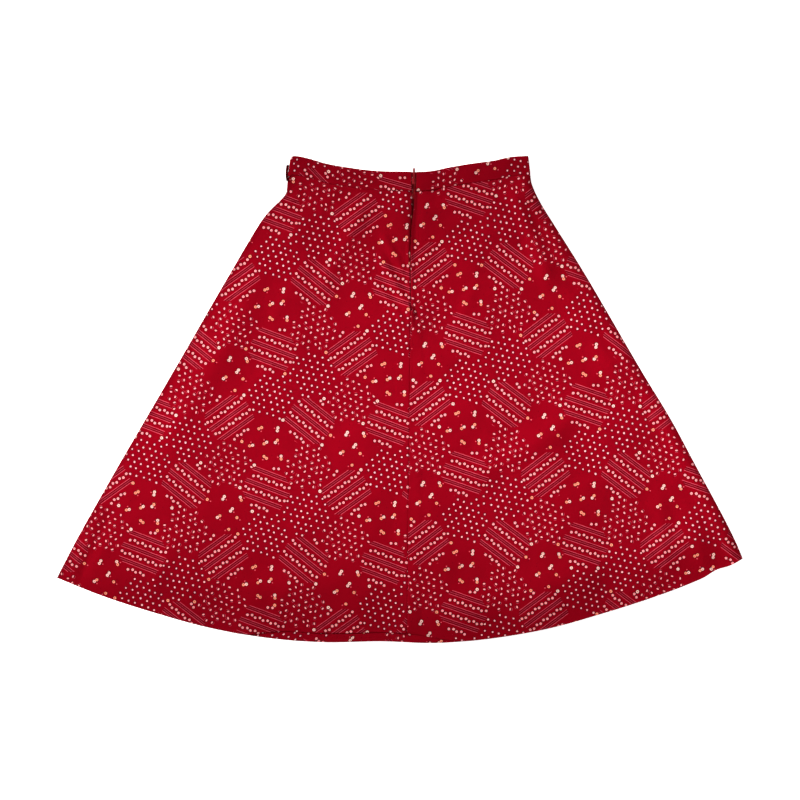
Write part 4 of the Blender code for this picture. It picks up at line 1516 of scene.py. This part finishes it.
def make_thread():
    """Red sewing cotton of two plies."""
    paint = Paint("red_thread", {"Roughness": 0.85, "Specular IOR Level": 0.05})
    place = paint.place()
    x, y, _ = place.parts()
    ply = ribbed(x + y, PLY_PITCH)
    fuzz = paint.noise(place, 0.5, 2.0)
    colour = paint.mix(THREAD_DARK, THREAD_RED, ply * 0.6 + fuzz * 0.4)
    return paint.finish(ply + fuzz * 0.5, 0.05, colour)


def make_floor():
    """A wide white floor that glows by itself, because the lights are dim."""
    glow = {"Emission Color": (1, 1, 1, 1), "Emission Strength": 0.85}
    paint = Paint("pale_floor", {"Base Color": display(250, 250, 250), "Roughness": 0.9, **glow})
    mesh = bpy.data.meshes.new("floor")
    half = FLOOR_WIDTH / 2
    corners = [(-half, -half, 0), (half, -half, 0), (half, half, 0), (-half, half, 0)]
    mesh.from_pydata(corners, [], [(0, 1, 2, 3)])
    mesh.materials.append(paint.material)
    placed("floor", mesh, (0, 0, FLOOR_Z))


def make_camera():
    """Straight above the skirt, with VIEW_WIDTH of the floor across its view."""
    camera = bpy.data.cameras.new("camera")
    camera.lens = LENS
    height = VIEW_WIDTH * camera.lens / camera.sensor_width
    bpy.context.scene.camera = placed("camera", camera, (0, CAMERA_Y, height))


def make_light(box):
    """A soft box that faces the middle of the skirt, with its first side level with the waist."""
    light = bpy.data.lights.new(box.name, "AREA")
    light.shape = "RECTANGLE"
    light.size, light.size_y = box.size
    light.spread = math.radians(box.spread)
    light.energy = box.power
    back = Vector(box.place).normalized()
    along = (Vector((1, 0, 0)) - back * back.x).normalized()
    turn = Matrix((along, back.cross(along), back)).transposed()
    placed(box.name, light, box.place).rotation_euler = turn.to_euler()


def make_world():
    """Dim white light from all round, and colours shown as they are."""
    world = bpy.data.worlds.new("studio")
    world.use_nodes = True
    background = world.node_tree.nodes["Background"]
    background.inputs["Color"].default_value = (1, 1, 1, 1)
    background.inputs["Strength"].default_value = WORLD_STRENGTH
    bpy.context.scene.world = world
    bpy.context.scene.view_settings.view_transform = "Standard"


calico = make_calico("printed_cotton_cloth", 1.0)
# painted shade: the waistband's copy of the cloth is a little darker, and the belt loop's, which
# stands on its edge in shade, is darkened by half
band_calico = make_calico("waistband_cloth", 0.96)
loop_calico = make_calico("belt_loop_cloth", 0.5)
tape_weave = make_tape_weave()
nylon = make_nylon()
enamel = make_enamel()
thread = make_thread()

make_camera()
make_front()
make_back("left_back_panel", "back_left", left_panel, LAYS["left"], -1)
make_back("right_back_panel", "back_right", right_panel, LAYS["right"], 1)
make_zip_tapes()
make_zip_coil()
make_slider()
make_pull_tab()
make_waistband()
make_belt_loop()
make_floor()
for box in LIGHTS:
    make_light(box)
make_world()
